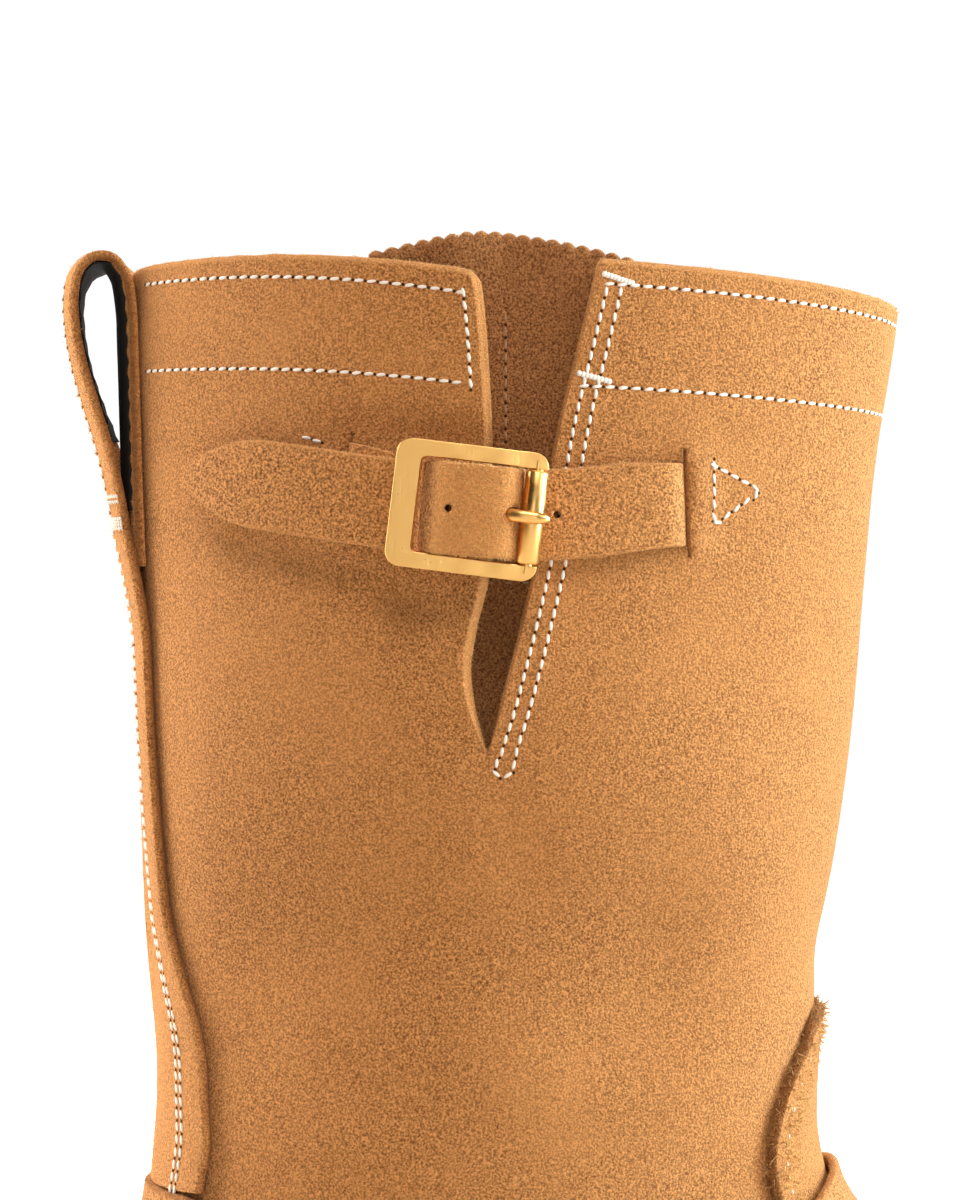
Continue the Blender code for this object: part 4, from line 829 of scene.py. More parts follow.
def rear_skin(row, turn, edge_x):
    """The worn skin of the rear panel, whose corner the strap pulls down and the maker rounds off."""
    point, normal = worn_skin(row, turn)
    drop = panel_drop(point, edge_x)
    off_edge = max(0.0, edge_x - point.x)
    if off_edge < CORNER:
        near_rim = max(0.0, 1 - (row - COLLAR_ROW) * SHAFT_ROW_DEPTH / CORNER_HEIGHT)
        drop += near_rim * (CORNER - math.sqrt(CORNER**2 - (CORNER - off_edge) ** 2))
    return point - Vector((0, 0, drop)), normal


def upper_rows():
    """Rows of the upper's mesh, closest at the rim, with one on the slit's foot."""
    last = toe_row(UPPER_TOE_LIFT)
    rim = [COLLAR_ROW + f / SHAFT_ROW_DEPTH for f in FINE_EDGE[:-1]]
    start = COLLAR_ROW + FINE_EDGE[-1] / SHAFT_ROW_DEPTH
    return rim + skin_rows(start, SLIT_ROW)[:-1] + skin_rows(SLIT_ROW, last)


def upper_grids():
    """The upper's outer face: the panel behind the slit, and the rest round the front to the inner side."""
    fine = [f / STRIP_WIDTH for f in FINE_EDGE]
    behind_shares = spread(0.0, 1.0, LATERAL_COLUMNS, fine, (False, True))
    before_shares = spread(0.0, 1.0, LATERAL_COLUMNS, fine, (True, False))
    behind_grid, before_grid = [], []
    for row in upper_rows():
        section = section_at(row)
        left, right = slit_angles(section)
        ends = {side: sole_angle(section, side, UPPER_LIFT) for side in BOTH}
        rim = RIM if row == COLLAR_ROW else PLAIN
        edge_x = section.point(left, LATERAL).x
        if row < SLIT_ROW:
            slant = SLIT_SLANT * min(1.0, (SLIT_ROW - row) / 0.2)
            left = section.angle_at(edge_x - slant, LATERAL)
            edge_x -= slant
        line = []
        for share in behind_shares:
            turn = -ends[LATERAL] + share * (ends[LATERAL] - left)
            if row < SLIT_ROW:
                point, normal = rear_skin(row, turn, edge_x)
            else:
                point, normal = worn_skin(row, turn)
            line.append((point, normal, REAR_SLIT if share == 1.0 and row < SLIT_ROW else rim))
        behind_grid.append(line)
        line = []
        for share in before_shares:
            point, normal = worn_skin(row, -right * (1 - share))
            line.append((point, normal, FRONT_SLIT if share == 0.0 and row < SLIT_ROW else rim))
        for share in np.linspace(0, 1, MEDIAL_COLUMNS + 1)[1:]:
            point, normal = worn_skin(row, share * ends[MEDIAL])
            line.append((point, normal, rim))
        before_grid.append(line)
    return behind_grid, before_grid


def cut_slot(shape, slot):
    """Cuts a strap's slot, and the slit that it ends in, through the skin."""
    middle_along = sum(slot.along) / 2
    x = TOP_BUCKLE_X + middle_along
    z = column(slot.line, "x", "z", x)
    ahead, behind = (column(slot.line, "x", "z", x + step) for step in (LINE_STEP, -LINE_STEP))
    run = Vector((1, 0, (ahead - behind) / (2 * LINE_STEP))).normalized()
    up = Vector((-run.z, 0, run.x))
    middle = Vector((x, 0, z))

    def near(face):
        away = face.calc_center_median() - middle
        return away.y < 0 and math.hypot(away.x, away.z) < SLOT_NEAR

    cuts = [(run, a - middle_along) for a in sorted({*slot.along, *slot.slit})]
    cuts += [(up, c) for c in (*slot.across, *slot.slit_across)]
    for direction, reach in cuts:
        faces = [f for f in shape.faces if near(f)]
        edges = dict.fromkeys(e for f in faces for e in f.edges)
        corners = dict.fromkeys(v for f in faces for v in f.verts)
        bmesh.ops.bisect_plane(shape, geom=[*edges, *corners, *faces], dist=1e-7,
                               plane_co=middle + direction * reach, plane_no=direction)
    inside = []
    for f in shape.faces:
        away = f.calc_center_median() - middle
        along, across = away.dot(run) + middle_along, away.dot(up)
        for ends, sides in ((slot.along, slot.across), (slot.slit, slot.slit_across)):
            if near(f) and ends[0] < along < ends[1] and sides[0] < across < sides[1]:
                inside.append(f)
                break
    bmesh.ops.delete(shape, geom=inside, context="FACES")


def make_upper(materials):
    """Shaft and foot, with the slit and the straps' slots cut through."""
    shape, layers = open_mesh(upper_grids())
    for slot in SLOTS:
        cut_slot(shape, slot)
    # Each kind of edge: profile, bulge, how far the inner face runs on, and tone
    kinds = {
        PLAIN: (EDGE_PROFILE, 0.0005, 0.0, -0.5),
        # The rim's and the slit's edges are painted paler: partly the leather's paler core, partly painted
        # highlight where they catch the light
        RIM: (EDGE_PROFILE, 0.0006, 0.0010, 0.8),
        REAR_SLIT: (TWO_LAYERS, 0.0003, SLIT_SLANT, 1.0),
        FRONT_SLIT: (EDGE_PROFILE, 0.0005, 0.0003, 0.35),
    }

    def edge_at(v):
        kind = int(round(v[layers["kind"]]))
        profile, bulge, slant, tone = kinds[kind]
        if kind in (REAR_SLIT, FRONT_SLIT):
            share = min(1.0, max(0.0, (v.co.z - SLIT[0].z) / SLIT_FOOT))
            return profile, bulge * share, slant * share, tone
        return profile, bulge * ragged(v.co, 0.35), slant, tone

    piece = Piece()
    walled(piece, shape, layers["outward"], WALL, edge_at, (0, 1))
    shape.free()
    return finish_object("upper_leather", piece, materials)


def walled_piece(grids, thick, edge_at):
    """Grids of one kind of edge as a piece with a thickness."""
    shape, layers = open_mesh(grids)
    piece = Piece()
    walled(piece, shape, layers["outward"], thick, edge_at)
    shape.free()
    return piece


def vamp_inside(point):
    """Whether the vamp covers a point of the skin."""
    return point.x > column(VAMP_EDGE[::-1], "z", "x", point.z)


def counter_inside(point):
    """Whether the counter covers a point of the skin."""
    return point.z < column(COUNTER_EDGE, "x", "z", point.x)


def vamp_turn(row, side):
    """The angle at which the vamp ends on one side of a section: at its edge or at the welt."""
    section = section_at(row)
    end = sole_angle(section, side, OVERLAY_LIFT)
    if vamp_inside(section.point(end, side)):
        return end
    return bisect(0.0, end, lambda a: vamp_inside(section.point(a, side)))


def vamp_rows():
    """Rows of the vamp's mesh, closest at its top edge."""
    first = bisect(LAST_ROW - 6, ANKLE_ROW - 1, lambda r: vamp_inside(skin(r, 0.0)))
    start = [first + step for step in FIRST_ROWS]
    return start + skin_rows(first + AFTER_FIRST_ROWS, toe_row(VAMP_TOE_LIFT))


def layer_grid(rows, spans, shares, off):
    """A grid off the creased skin. spans(row) gives the turns at which each row starts and ends."""
    grid = []
    for row in rows:
        low, high = spans(row)
        grid.append([(*worn_skin(row, low + share * (high - low), off), PLAIN) for share in shares])
    return grid


def fray(piece):
    """Marks the band of the vamp's face along its raw edge, where loose fibres stand."""
    for k, point in enumerate(piece.points):
        above = point.z > FRAYED_FROM and piece.tones[k] == 0.0
        if above and point.x < column(VAMP_EDGE[::-1], "z", "x", min(point.z, VAMP_EDGE[0].z)) + FRAYED_WIDE:
            piece.tones[k] = FRAYED_TONE


def make_vamp(materials):
    """The layer from the instep to the toe, with its frayed edge."""
    def span(row):
        return -vamp_turn(row, LATERAL), vamp_turn(row, MEDIAL)

    fine = [f / (2 * STRIP_WIDTH) for f in FINE_EDGE]
    grid = layer_grid(vamp_rows(), span, spread(0.0, 1.0, VAMP_COLUMNS, fine), SEAT + OVERLAY)

    def edge_at(v):
        return EDGE_PROFILE, 0.0008 * ragged(v.co, 1.2), 0.0003, -0.85

    piece = walled_piece([grid], OVERLAY, edge_at)
    fray(piece)
    return finish_object("vamp_leather", piece, materials)


def is_open(row, side, turn_at):
    """Whether an overlay's edge runs well above the welt in a row."""
    return turn_at(row, side) < sole_angle(section_at(row), side, OVERLAY_LIFT) - OPEN_EDGE


def counter_turn(row, side):
    """The angle at which the counter starts on one side of a section."""
    section = section_at(row)
    end = sole_angle(section, side, OVERLAY_LIFT)
    if not counter_inside(section.point(end, side)):
        return end
    return bisect(end, 0.6, lambda a: counter_inside(section.point(a, side)))


def counter_rows():
    """Rows of the counter's mesh, closest at its top edge."""
    first = bisect(HEEL_ROW, ANKLE_ROW, lambda r: counter_inside(section_at(r).end))
    last = bisect(HEEL_ROW + 1, COUNTER_ROW, lambda r: is_open(r, LATERAL, counter_turn))
    return [first + step for step in FIRST_ROWS] + skin_rows(first + AFTER_FIRST_ROWS, last)


def make_counter(materials):
    """The layer round the heel, in two halves that meet at the back."""
    rows = counter_rows()
    shares = spread(0.0, 1.0, COUNTER_COLUMNS, [f / COUNTER_WIDTH for f in FINE_EDGE], (True, False))
    grids = []
    for side in BOTH:
        def span(row, side=side):
            return side * counter_turn(row, side), side * sole_angle(section_at(row), side, OVERLAY_LIFT)
        grids.append(layer_grid(rows, span, shares, SEAT + COUNTER))
    grids[0] = [line[::-1] for line in grids[0]]

    def edge_at(v):
        return EDGE_PROFILE, 0.0010 * ragged(v.co, 0.5), 0.0004, -0.5

    return finish_object("counter_leather", walled_piece(grids, COUNTER, edge_at), materials)


def strip_profile(half, thick, across, ends=5):
    """Round-edged cross-section of a strip: place across it, place through its thickness, and edge tone."""
    radius = thick / 2
    rounding = min(0.8 * radius, 0.6 * half)
    flat = half - rounding
    outline = [(v, radius, 0.0) for v in np.linspace(-flat, flat, across)]
    for sign in (1, -1):
        for k in range(1, ends + 1):
            turn = math.pi / 2 - math.pi * k / (ends + 1)
            bulge = rounding * abs(math.cos(turn)) ** 0.7
            outline.append((sign * (flat + bulge), sign * radius * math.sin(turn), 1.0))
        if sign == 1:
            outline += [(v, -radius, 0.0) for v in np.linspace(flat, -flat, across)]
    return outline


def row_at_back(z):
    """The row whose back point is at a height."""
    return bisect(COLLAR_ROW, HEEL_ROW, lambda r: section_at(r).end.z > z)


def stay_place(z):
    """Where the stay's middle layer lies: a function of the place across it and through its thickness."""
    row = row_at_back(z)
    section = section_at(row)

    def place(v, n):
        side = LATERAL if v < 0 else MEDIAL
        share = min(1.0, abs(v) / section.half[side])
        angle = math.pi - math.asin(share ** (section.back_full / 2))
        turn = -angle if side == LATERAL else angle
        point, normal = worn_skin(row, turn)
        return point + normal * (SEAT + OVERLAY / 2 + n)
    return place


def lengths_along(points, names):
    """Distances along a line, at each of its points. names are the two columns that it is drawn by."""
    lengths = [0.0]
    for a, b in zip(points, points[1:]):
        lengths.append(lengths[-1] + math.hypot(*(getattr(b, name) - getattr(a, name) for name in names)))
    return lengths


LOOP_AT = lengths_along(LOOP, ("x", "z"))


def loop_place(at):
    """Where the pull loop lies at a distance along it, from the inner leg over the fold to the outer leg."""
    def middle_at(length):
        columns = [[getattr(p, name) for p in LOOP] for name in ("x", "z")]
        return [sloped(LOOP_AT, values, np.gradient(values, LOOP_AT), length) for values in columns]

    step = LOOP_AT[-1] / 300
    ahead, behind = middle_at(at + step), middle_at(at - step)
    normal = Vector((ahead[1] - behind[1], 0, behind[0] - ahead[0])).normalized()
    x, z = middle_at(at)
    curls = [monotone(LOOP_AT, [getattr(p, name) for p in LOOP], at) for name in ("lateral", "medial")]

    def place(v, n):
        u = v / LOOP_HALF
        curl = curls[0] if v < 0 else curls[1]
        return Vector((x + curl * u * u, v, z)) + normal * n
    return place


def back_strip():
    """Places, half-widths and thicknesses up the stay and the loop's outer leg, and down its inner leg."""
    stations = []
    for z in np.arange(STAY[0].z, STAY_TOP, STAY_STEP):
        stations.append((stay_place(z), column(STAY, "z", "half", z), OVERLAY))
    high = loop_place(LOOP_AT[-1] - LOOP_LEAVES)
    high_z = high(0, 0).z
    under = stay_place(high_z)
    for share in np.linspace(0, 1, 14):
        stay = stay_place(STAY_TOP + share * (high_z - STAY_TOP))

        def place(v, n, stay=stay, rise=share**1.5):
            return stay(v, n) + (high(v, n) - under(v, n)) * rise
        stations.append((place, LOOP_HALF, OVERLAY + share * (LOOP_THICK - OVERLAY)))
    for at in np.linspace(LOOP_AT[-1] - LOOP_LEAVES, 0, LOOP_STATIONS)[1:]:
        stations.append((loop_place(at), LOOP_HALF, LOOP_THICK))
    return stations


def make_back_strip(materials):
    """The stay and the pull loop, which are one strip."""
    rings = []
    for place, half, thick in back_strip():
        profile = strip_profile(half, thick, STAY_ACROSS)
        rings.append([place(v, n) for v, n, _ in profile])
    profile = strip_profile(LOOP_HALF, LOOP_THICK, STAY_ACROSS)
    # Cut edges dark, darkest towards the boot as painted shade; outer face paler as painted light
    tones = [STAY_TONE * min(1.0, max(0.0, 0.55 - 2 * n / LOOP_THICK)) if t else STAY_FACE_PAINTED_LIGHT * (n > 0)
             for _, n, t in profile]
    piece = Piece()
    piece.rings(rings, tones)
    return finish_object("back_stay_and_loop", piece, materials)


def make_loop_tape(material):
    """Woven tape that lines the pull loop's gap."""
    rings = []
    for at in np.linspace(TAPE_FROM, TAPE_TO, 80):
        place = loop_place(at)
        half = TAPE_HALF + TAPE_SCALLOP * math.sin(math.pi * at / TAPE_PITCH) ** 2
        profile = strip_profile(half, TAPE_THICK, 7, 2)
        rings.append([place(v, n - LOOP_THICK / 2 - TAPE_THICK / 2 - TAPE_GAP) for v, n, _ in profile])
    piece = Piece()
    piece.rings(rings, [0.0] * len(rings[0]))
    return finish_object("pull_loop_tape", piece, [material])


def make_gusset(surface, materials):
    """The bellows piece behind the slit, with a pinked top edge."""
    low, high = GUSSET[0].z, GUSSET[-1].z
    shares = [*np.linspace(0, 0.95, GUSSET_ROWS), PINK_FROM, 0.985, 0.993, 1.0]
    grid = []
    for v in shares:
        z = low + v * (high - low)
        left, right = column(GUSSET, "z", "left_x", z), column(GUSSET, "z", "right_x", z)
        line = []
        for u in np.linspace(0, 1, GUSSET_COLUMNS + 1):
            bow = math.sin(math.pi * u)
            x = left + u * (right - left)
            tooth = abs(math.sin(math.pi * x / PINK_PITCH)) ** 0.8
            teeth = PINK_DEPTH * tooth * max(0.0, (v - PINK_FROM) / 0.03)
            pleat = PLEAT_DEPTH * math.sin(PLEATS * math.pi * u) * bow
            arch = (column(GUSSET_TOP, "x", "z", x) - high) * v**4
            point, normal = surface.at(x, z + arch + teeth)
            deep = WALL + GUSSET_SEAT + GUSSET_DEPTH * bow + pleat
            line.append((point - normal * deep, normal, RIM if v == 1.0 else PLAIN))
        grid.append(line)
    shape, layers = open_mesh([grid[::-1]])

    def edge_at(v):
        # The pinked top edge is painted paler: partly the leather's paler core, partly painted highlight
        return EDGE_PROFILE, 0.0004, 0.0004, (0.9 if round(v[layers["kind"]]) == RIM else 0.0)

    piece = Piece()
    walled(piece, shape, layers["outward"], GUSSET_THICK, edge_at)
    shape.free()
    return finish_object("gusset_leather", piece, materials)


class SideSurface:
    """A face of the boot, read at a place seen from the side."""

    def __init__(self, tree, shift=None):
        self.tree = tree
        self.shift = shift or Vector()

    def at(self, x, z, side=LATERAL):
        start = Vector((x, side, z)) + self.shift
        point, normal, _, _ = self.tree.ray_cast(start, Vector((0, -side, 0)))
        if point is None:
            raise ValueError(f"nothing at x {x:.4f}, z {z:.4f}")
        return point - self.shift, normal


def smooth_skin_tree():
    """The skin without slit or creases, which the straps are laid on."""
    shape = bmesh.new()
    rows = skin_rows(0.0, LAST_ROW - 0.6)
    lines = []
    for row in rows:
        section = section_at(row)
        turns = [*np.linspace(-section.last[LATERAL], 0, 80), *np.linspace(0, section.last[MEDIAL], 80)[1:]]
        lines.append([shape.verts.new(skin(row, t)) for t in turns])
    for above, below in zip(lines, lines[1:]):
        for j in range(len(above) - 1):
            shape.faces.new((above[j], below[j], below[j + 1], above[j + 1]))
    shape.normal_update()
    tree = BVHTree.FromBMesh(shape)
    shape.free()
    return tree


def surface_of(made):
    """A finished object's surface, read in the last frame."""
    points = [v.co.copy() for v in made.data.vertices]
    faces = [list(p.vertices) for p in made.data.polygons]
    return SideSurface(BVHTree.FromPolygons(points, faces), LAST_TO_FRAME)


def fine_path(path, count=None):
    """A path with its columns read smoothly at even steps along it."""
    lengths = lengths_along(path, ("along", "off"))
    kind = type(path[0])
    count = count or max(2, int(lengths[-1] / STRAP_STEP))
    made = []
    for at in np.linspace(0, lengths[-1], count):
        made.append(kind(*[monotone(lengths, values, at) for values in zip(*path)]))
    return made


def path_runs(points):
    """Each point of a path with the direction of the path there."""
    for i, here in enumerate(points):
        before, after = points[max(0, i - 1)], points[min(len(points) - 1, i + 1)]
        yield here, Vector((after.along - before.along, after.off - before.off)).normalized()


def strap_piece(path, place, tone, across=13):
    """A strap with round edges along a path, with a painted highlight where it stands highest."""
    rings = []
    points = fine_path(path)
    for here, run in path_runs(points):
        ring = []
        for v, n, _ in strip_profile(here.half, here.thick, across):
            ring.append(place(here.along - run.y * n, v, here.off + run.x * n))
        rings.append(ring)
    # Cut edges painted paler: partly the leather's paler core, partly painted highlight
    tones = [tone * t for _, _, t in strip_profile(STRAP_HALF, STRAP, across)]
    piece = Piece()
    piece.rings(rings, tones)
    for i, here in enumerate(points):
        # Painted highlight: the strap is painted paler where it stands highest off the boot
        worn = HIGHLIGHT_TONE * min(1.0, max(0.0, (here.off - HIGHLIGHT_FROM) / HIGHLIGHT_OVER))
        for k in range(i * len(tones), (i + 1) * len(tones)):
            piece.tones[k] = max(piece.tones[k], worn)
    return piece


def round_turns(sides):
    """Angles once round."""
    return [2 * math.pi * k / sides for k in range(sides)]


def rod_rings(place, bar, radius, ends, sides, chamfer=0.0):
    """Rings of a round rod that lies across the strap."""
    low, high = ends
    levels = [(low, radius), (high, radius)]
    if chamfer:
        levels = [(low, radius - chamfer), (low + chamfer, radius), (high - chamfer, radius),
                  (high, radius - chamfer)]
    return [[place(bar.along + r * math.cos(t), b, bar.off + r * math.sin(t)) for t in round_turns(sides)]
            for b, r in levels]


def cutter(name, rings):
    """A helper solid for a Boolean, in the frame."""
    piece = Piece()
    piece.rings(rings, [0.0] * len(rings[0]))
    return finish_object(name, piece, [])


def cut_away(made, helpers):
    """Cuts helpers out of an object and removes them."""
    for helper in helpers:
        change = made.modifiers.new(helper.name, "BOOLEAN")
        change.operation = "DIFFERENCE"
        change.solver = "EXACT"
        change.object = helper
    with_modifiers(made)
    for helper in helpers:
        mesh = helper.data
        bpy.data.objects.remove(helper)
        bpy.data.meshes.remove(mesh)


def hole_rings(place, along, half_long, half_wide, reach, sides=20):
    """Rings of an oval hole that goes through a strap."""
    return [[place(along + half_long * math.cos(t), half_wide * math.sin(t), d) for t in round_turns(sides)]
            for d in reach]


def rigid_frame(origin, normal, along):
    """Places of a rigid piece: along the strap, across it and off the boot."""
    normal = normal.normalized()
    along = (along - normal * along.dot(normal)).normalized()
    across = along.cross(normal)
    if across.z < 0:
        across.negate()
    return lambda a, b, d: origin + along * a + across * b + normal * d


def top_places(surface):
    """Places along the top billet and chape, and round the top buckle."""
    def along_line(line):
        def place(a, b, d):
            x = TOP_BUCKLE_X + a
            behind, ahead = column(line, "x", "z", x - LINE_STEP), column(line, "x", "z", x + LINE_STEP)
            slope = (ahead - behind) / (2 * LINE_STEP)
            run = math.hypot(1, slope)
            point, normal = surface.at(x - b * slope / run, column(line, "x", "z", x) + b / run)
            return point + normal * d
        return place

    origin, normal = surface.at(TOP_BUCKLE_X, column(TOP_BILLET_LINE, "x", "z", TOP_BUCKLE_X))
    tilt = Vector((math.cos(BUCKLE_ROLL), 0, math.sin(BUCKLE_ROLL)))
    return along_line(TOP_BILLET_LINE), along_line(TOP_CHAPE_LINE), rigid_frame(origin, normal, tilt)


def instep_places(tree):
    """Places along the instep strap, which lies flat at its buckle, and round the buckle."""
    forward = Vector((math.cos(INSTEP_RISE), 0, math.sin(INSTEP_RISE)))
    upward = Vector((-math.sin(INSTEP_RISE), 0, math.cos(INSTEP_RISE)))

    def ray(angle, b):
        out = Vector((0, -1, 0)) * math.cos(angle) + forward * math.sin(angle)
        point, normal, _, _ = tree.ray_cast(INSTEP_CENTRE + upward * b + out, -out)
        return point, normal

    angles = np.linspace(INSTEP_FROM, INSTEP_TO, INSTEP_ANGLES)
    line = [ray(angle, 0.0)[0] for angle in angles]
    lengths = np.concatenate([[0.0], np.cumsum([(q - p).length for p, q in zip(line, line[1:])])])
    lengths -= np.interp(INSTEP_BUCKLE, angles, lengths)

    origin, normal = ray(INSTEP_BUCKLE, 0.0)
    ahead = ray(INSTEP_BUCKLE + INSTEP_LOOK, 0.0)[0] - ray(INSTEP_BUCKLE - INSTEP_LOOK, 0.0)[0]
    flat = rigid_frame(origin + normal * INSTEP_FLAT_SEAT, normal, ahead)

    def place(a, b, d):
        point, normal = ray(float(np.interp(a, lengths, angles)), b)
        laid = point + normal * (d + INSTEP_SEAT)
        share = min(1.0, max(0.0, (INSTEP_LAID - abs(a)) / (INSTEP_LAID - INSTEP_FLAT)))
        return laid.lerp(flat(a, b, d), share)

    return place, flat


def instep_billet_path():
    """The instep billet: over the instep, past the roller and on to its tip."""
    past_roller = [p for p in TOP_BILLET if PAST_ROLLER[0] < p.along < PAST_ROLLER[1]]
    run = np.arange(INSTEP_BILLET_FROM, INSTEP_BILLET_LENGTH, INSTEP_BILLET_STEP)
    over_instep = [PathPoint(a, INSTEP_BILLET_OFF) for a in reversed(run)]
    return over_instep + past_roller + INSTEP_TIP


def frame_outline(steps=8):
    """The buckle's C-shaped plate: a rounded rectangle, open where the roller sits."""
    long, tall, r = FRAME_HALF_LONG, FRAME_HALF_TALL, FRAME_CORNER
    outline = []
    corners = ((long - r, tall - r, 0), (-long + r, tall - r, 90), (-long + r, -tall + r, 180),
               (long - r, -tall + r, 270))
    for a, b, start in corners:
        for k in range(steps + 1):
            turn = math.radians(start + 90 * k / steps)
            outline.append((a + r * math.cos(turn), b + r * math.sin(turn)))
    inside_a, inside_b = -long + FRAME_LEFT_BAR, tall - FRAME_ARM
    c = FRAME_INNER_CORNER
    mouth = [(long, -inside_b)]
    for sign, start in ((-1, 270), (1, 180)):
        for k in range(steps + 1):
            turn = math.radians(start - 90 * k / steps)
            mouth.append((inside_a + c + c * math.cos(turn), sign * (inside_b - c) + c * math.sin(turn)))
    mouth.append((long, inside_b))
    return outline + mouth


def make_buckle(prefix, place, brass):
    """Frame with its bars, the roller, and the prong over the roller."""
    outline = frame_outline()
    piece = Piece()
    piece.rings([[place(a, b, d) for a, b in outline] for d in (FRAME_LOW, FRAME_HIGH)], [0.0] * len(outline))
    plate_made = finish_object(prefix + "_buckle_plate", piece, [brass])
    bevel = plate_made.modifiers.new("worn edge", "BEVEL")
    bevel.width = BRASS_BEVEL
    bevel.segments = 4
    bevel.limit_method = "ANGLE"
    bevel.angle_limit = math.radians(50)
    with_modifiers(plate_made)
    plate_made.data.shade_smooth()
    inside = FRAME_HALF_TALL - FRAME_ARM
    bars = Piece()
    for bar in (CENTRE_BAR, ROLLER_BAR):
        reach = inside + FRAME_ARM / 2
        bars.rings(rod_rings(place, bar, bar.radius, (-reach, reach), BAR_SIDES), [0.0] * BAR_SIDES)
    bar_made = finish_object(prefix + "_buckle_bars", bars, [brass])
    settle(plate_made, "brass", prefix + "_buckle_frame")
    settle(bar_made, "brass")
    roller = Piece()
    end = inside - SEAT
    outer = rod_rings(place, ROLLER_BAR, ROLLER_OUTER, (-end, end), ROLLER_SIDES, ROLLER_CHAMFER)
    inner = rod_rings(place, ROLLER_BAR, ROLLER_INNER, (-end, end), ROLLER_SIDES)
    roller.rings([inner[0], *outer, inner[1], inner[0]], [0.0] * ROLLER_SIDES, capped=False)
    made = finish_object(prefix + "_roller", roller, [brass], BRASS_SMOOTH)
    settle(made, "brass", prefix + "_buckle_roller")
    settle(make_prong(prefix, place, brass), "brass", prefix + "_buckle_prong")


def make_prong(prefix, place, brass):
    """A ring round the centre bar, with an arm that swells over the roller and ends in a blunt point."""
    prong = Piece()
    inner, outer = PRONG_RING
    ends = (-PRONG_HALF, PRONG_HALF)
    out_rings = rod_rings(place, CENTRE_BAR, outer, ends, RING_SIDES, RING_CHAMFER)
    in_rings = rod_rings(place, CENTRE_BAR, inner, ends, RING_SIDES)
    prong.rings([in_rings[0], *out_rings, in_rings[1], in_rings[0]], [0.0] * RING_SIDES, capped=False)
    rings = []
    for here, run in path_runs(fine_path(PRONG_ARM, PRONG_STATIONS)):
        ring = []
        for turn in round_turns(PRONG_SIDES):
            rise = here.high * math.sin(turn)
            ring.append(place(here.along - run.y * rise, here.wide * math.cos(turn), here.off + run.x * rise))
        rings.append(ring)
    prong.rings(rings, [0.0] * PRONG_SIDES)
    return finish_object(prefix + "_prong", prong, [brass], BRASS_SMOOTH)


def outline_places():
    """Places along the last's length at which its outline is drawn."""
    heel = [HEEL_BACK + HEEL_RADIUS * (1 - math.cos(math.radians(t))) for t in range(0, 90, 9)]
    toe_start = LAST_LENGTH - TOE_RADIUS
    middle = list(np.linspace(HEEL_BACK + HEEL_RADIUS, toe_start, 26)[:-1])
    toe = [toe_start + TOE_RADIUS * math.sin(math.radians(t)) for t in range(0, 90, 6)]
    return heel + middle + toe


def outline_loop(reach):
    """The last's outline in plan, moved outwards: heel back, lateral side, toe, medial side."""
    xs = outline_places()
    loop = [(x, -underside_half(x, LATERAL)) for x in xs] + [(LAST_LENGTH, 0.0)]
    loop += [(x, underside_half(x, MEDIAL)) for x in reversed(xs[1:])]
    moved = []
    for i, (x, y) in enumerate(loop):
        (x0, y0), (x1, y1) = loop[i - 1], loop[(i + 1) % len(loop)]
        run = Vector((x1 - x0, y1 - y0)).normalized()
        out = reach(x)
        moved.append((x + run.y * out, y - run.x * out))
    return moved


def welt_reach(x):
    """How far the welt stands out past the last."""
    return column(WELT_REACH, "x", "z", x)


def heel_loop(inset):
    """The heel's outline in plan, closed by its straight breast."""
    loop = outline_loop(lambda x: welt_reach(x) - inset)
    half = len(loop) // 2
    lateral = [p for p in loop[:half] if p[0] < HEEL_BREAST - BREAST_CORNER]
    medial = [p for p in loop[half:] if p[0] < HEEL_BREAST - BREAST_CORNER]
    reach = welt_reach(HEEL_BREAST) - inset
    corners = [(HEEL_BREAST - inset, -underside_half(HEEL_BREAST, LATERAL) - reach),
               (HEEL_BREAST - inset, underside_half(HEEL_BREAST, MEDIAL) + reach)]
    return lateral + corners + medial


def sole_layer(name, loop_at, top, bottom, material, edge):
    """A sole layer with softened edges, filled across its width."""
    levels = [(edge, top), (0.0, top + edge), (0.0, bottom - edge), (edge, bottom)]
    rings = [[Vector((x, y, feather_z(x) - down)) for x, y in loop_at(inset)] for inset, down in levels]
    count = len(rings[0])
    piece = Piece()
    grid = piece.rings(rings, [0.0] * count, capped=False)
    for ring in (grid[0], grid[-1]):
        for i in range(count // 2):
            piece.face((ring[i], ring[i + 1], ring[(count - i - 1) % count], ring[(count - i) % count]))
    return finish_object(name, piece, [material])


def make_welt(material):
    """The strip round the boot that the upper is sewn to, with a rounded outer edge."""
    low, high = SEAT, WELT + SEAT
    inner = outline_loop(lambda x: -WELT_UNDER)
    outer, rounded = (outline_loop(lambda x: welt_reach(x) - inset) for inset in (0.0, WELT_EDGE))
    profile = [(inner, low), (rounded, low), (outer, low + WELT_EDGE), (outer, high - WELT_EDGE),
               (rounded, high), (inner, high)]
    loops = [[Vector((x, y, feather_z(round(x, 6)) - down)) for x, y in loop] for loop, down in profile]
    rings = list(zip(*loops))
    piece = Piece()
    piece.rings([*rings, rings[0]], [0.0] * len(loops), capped=False)
    return finish_object("welt_strip", piece, [material])


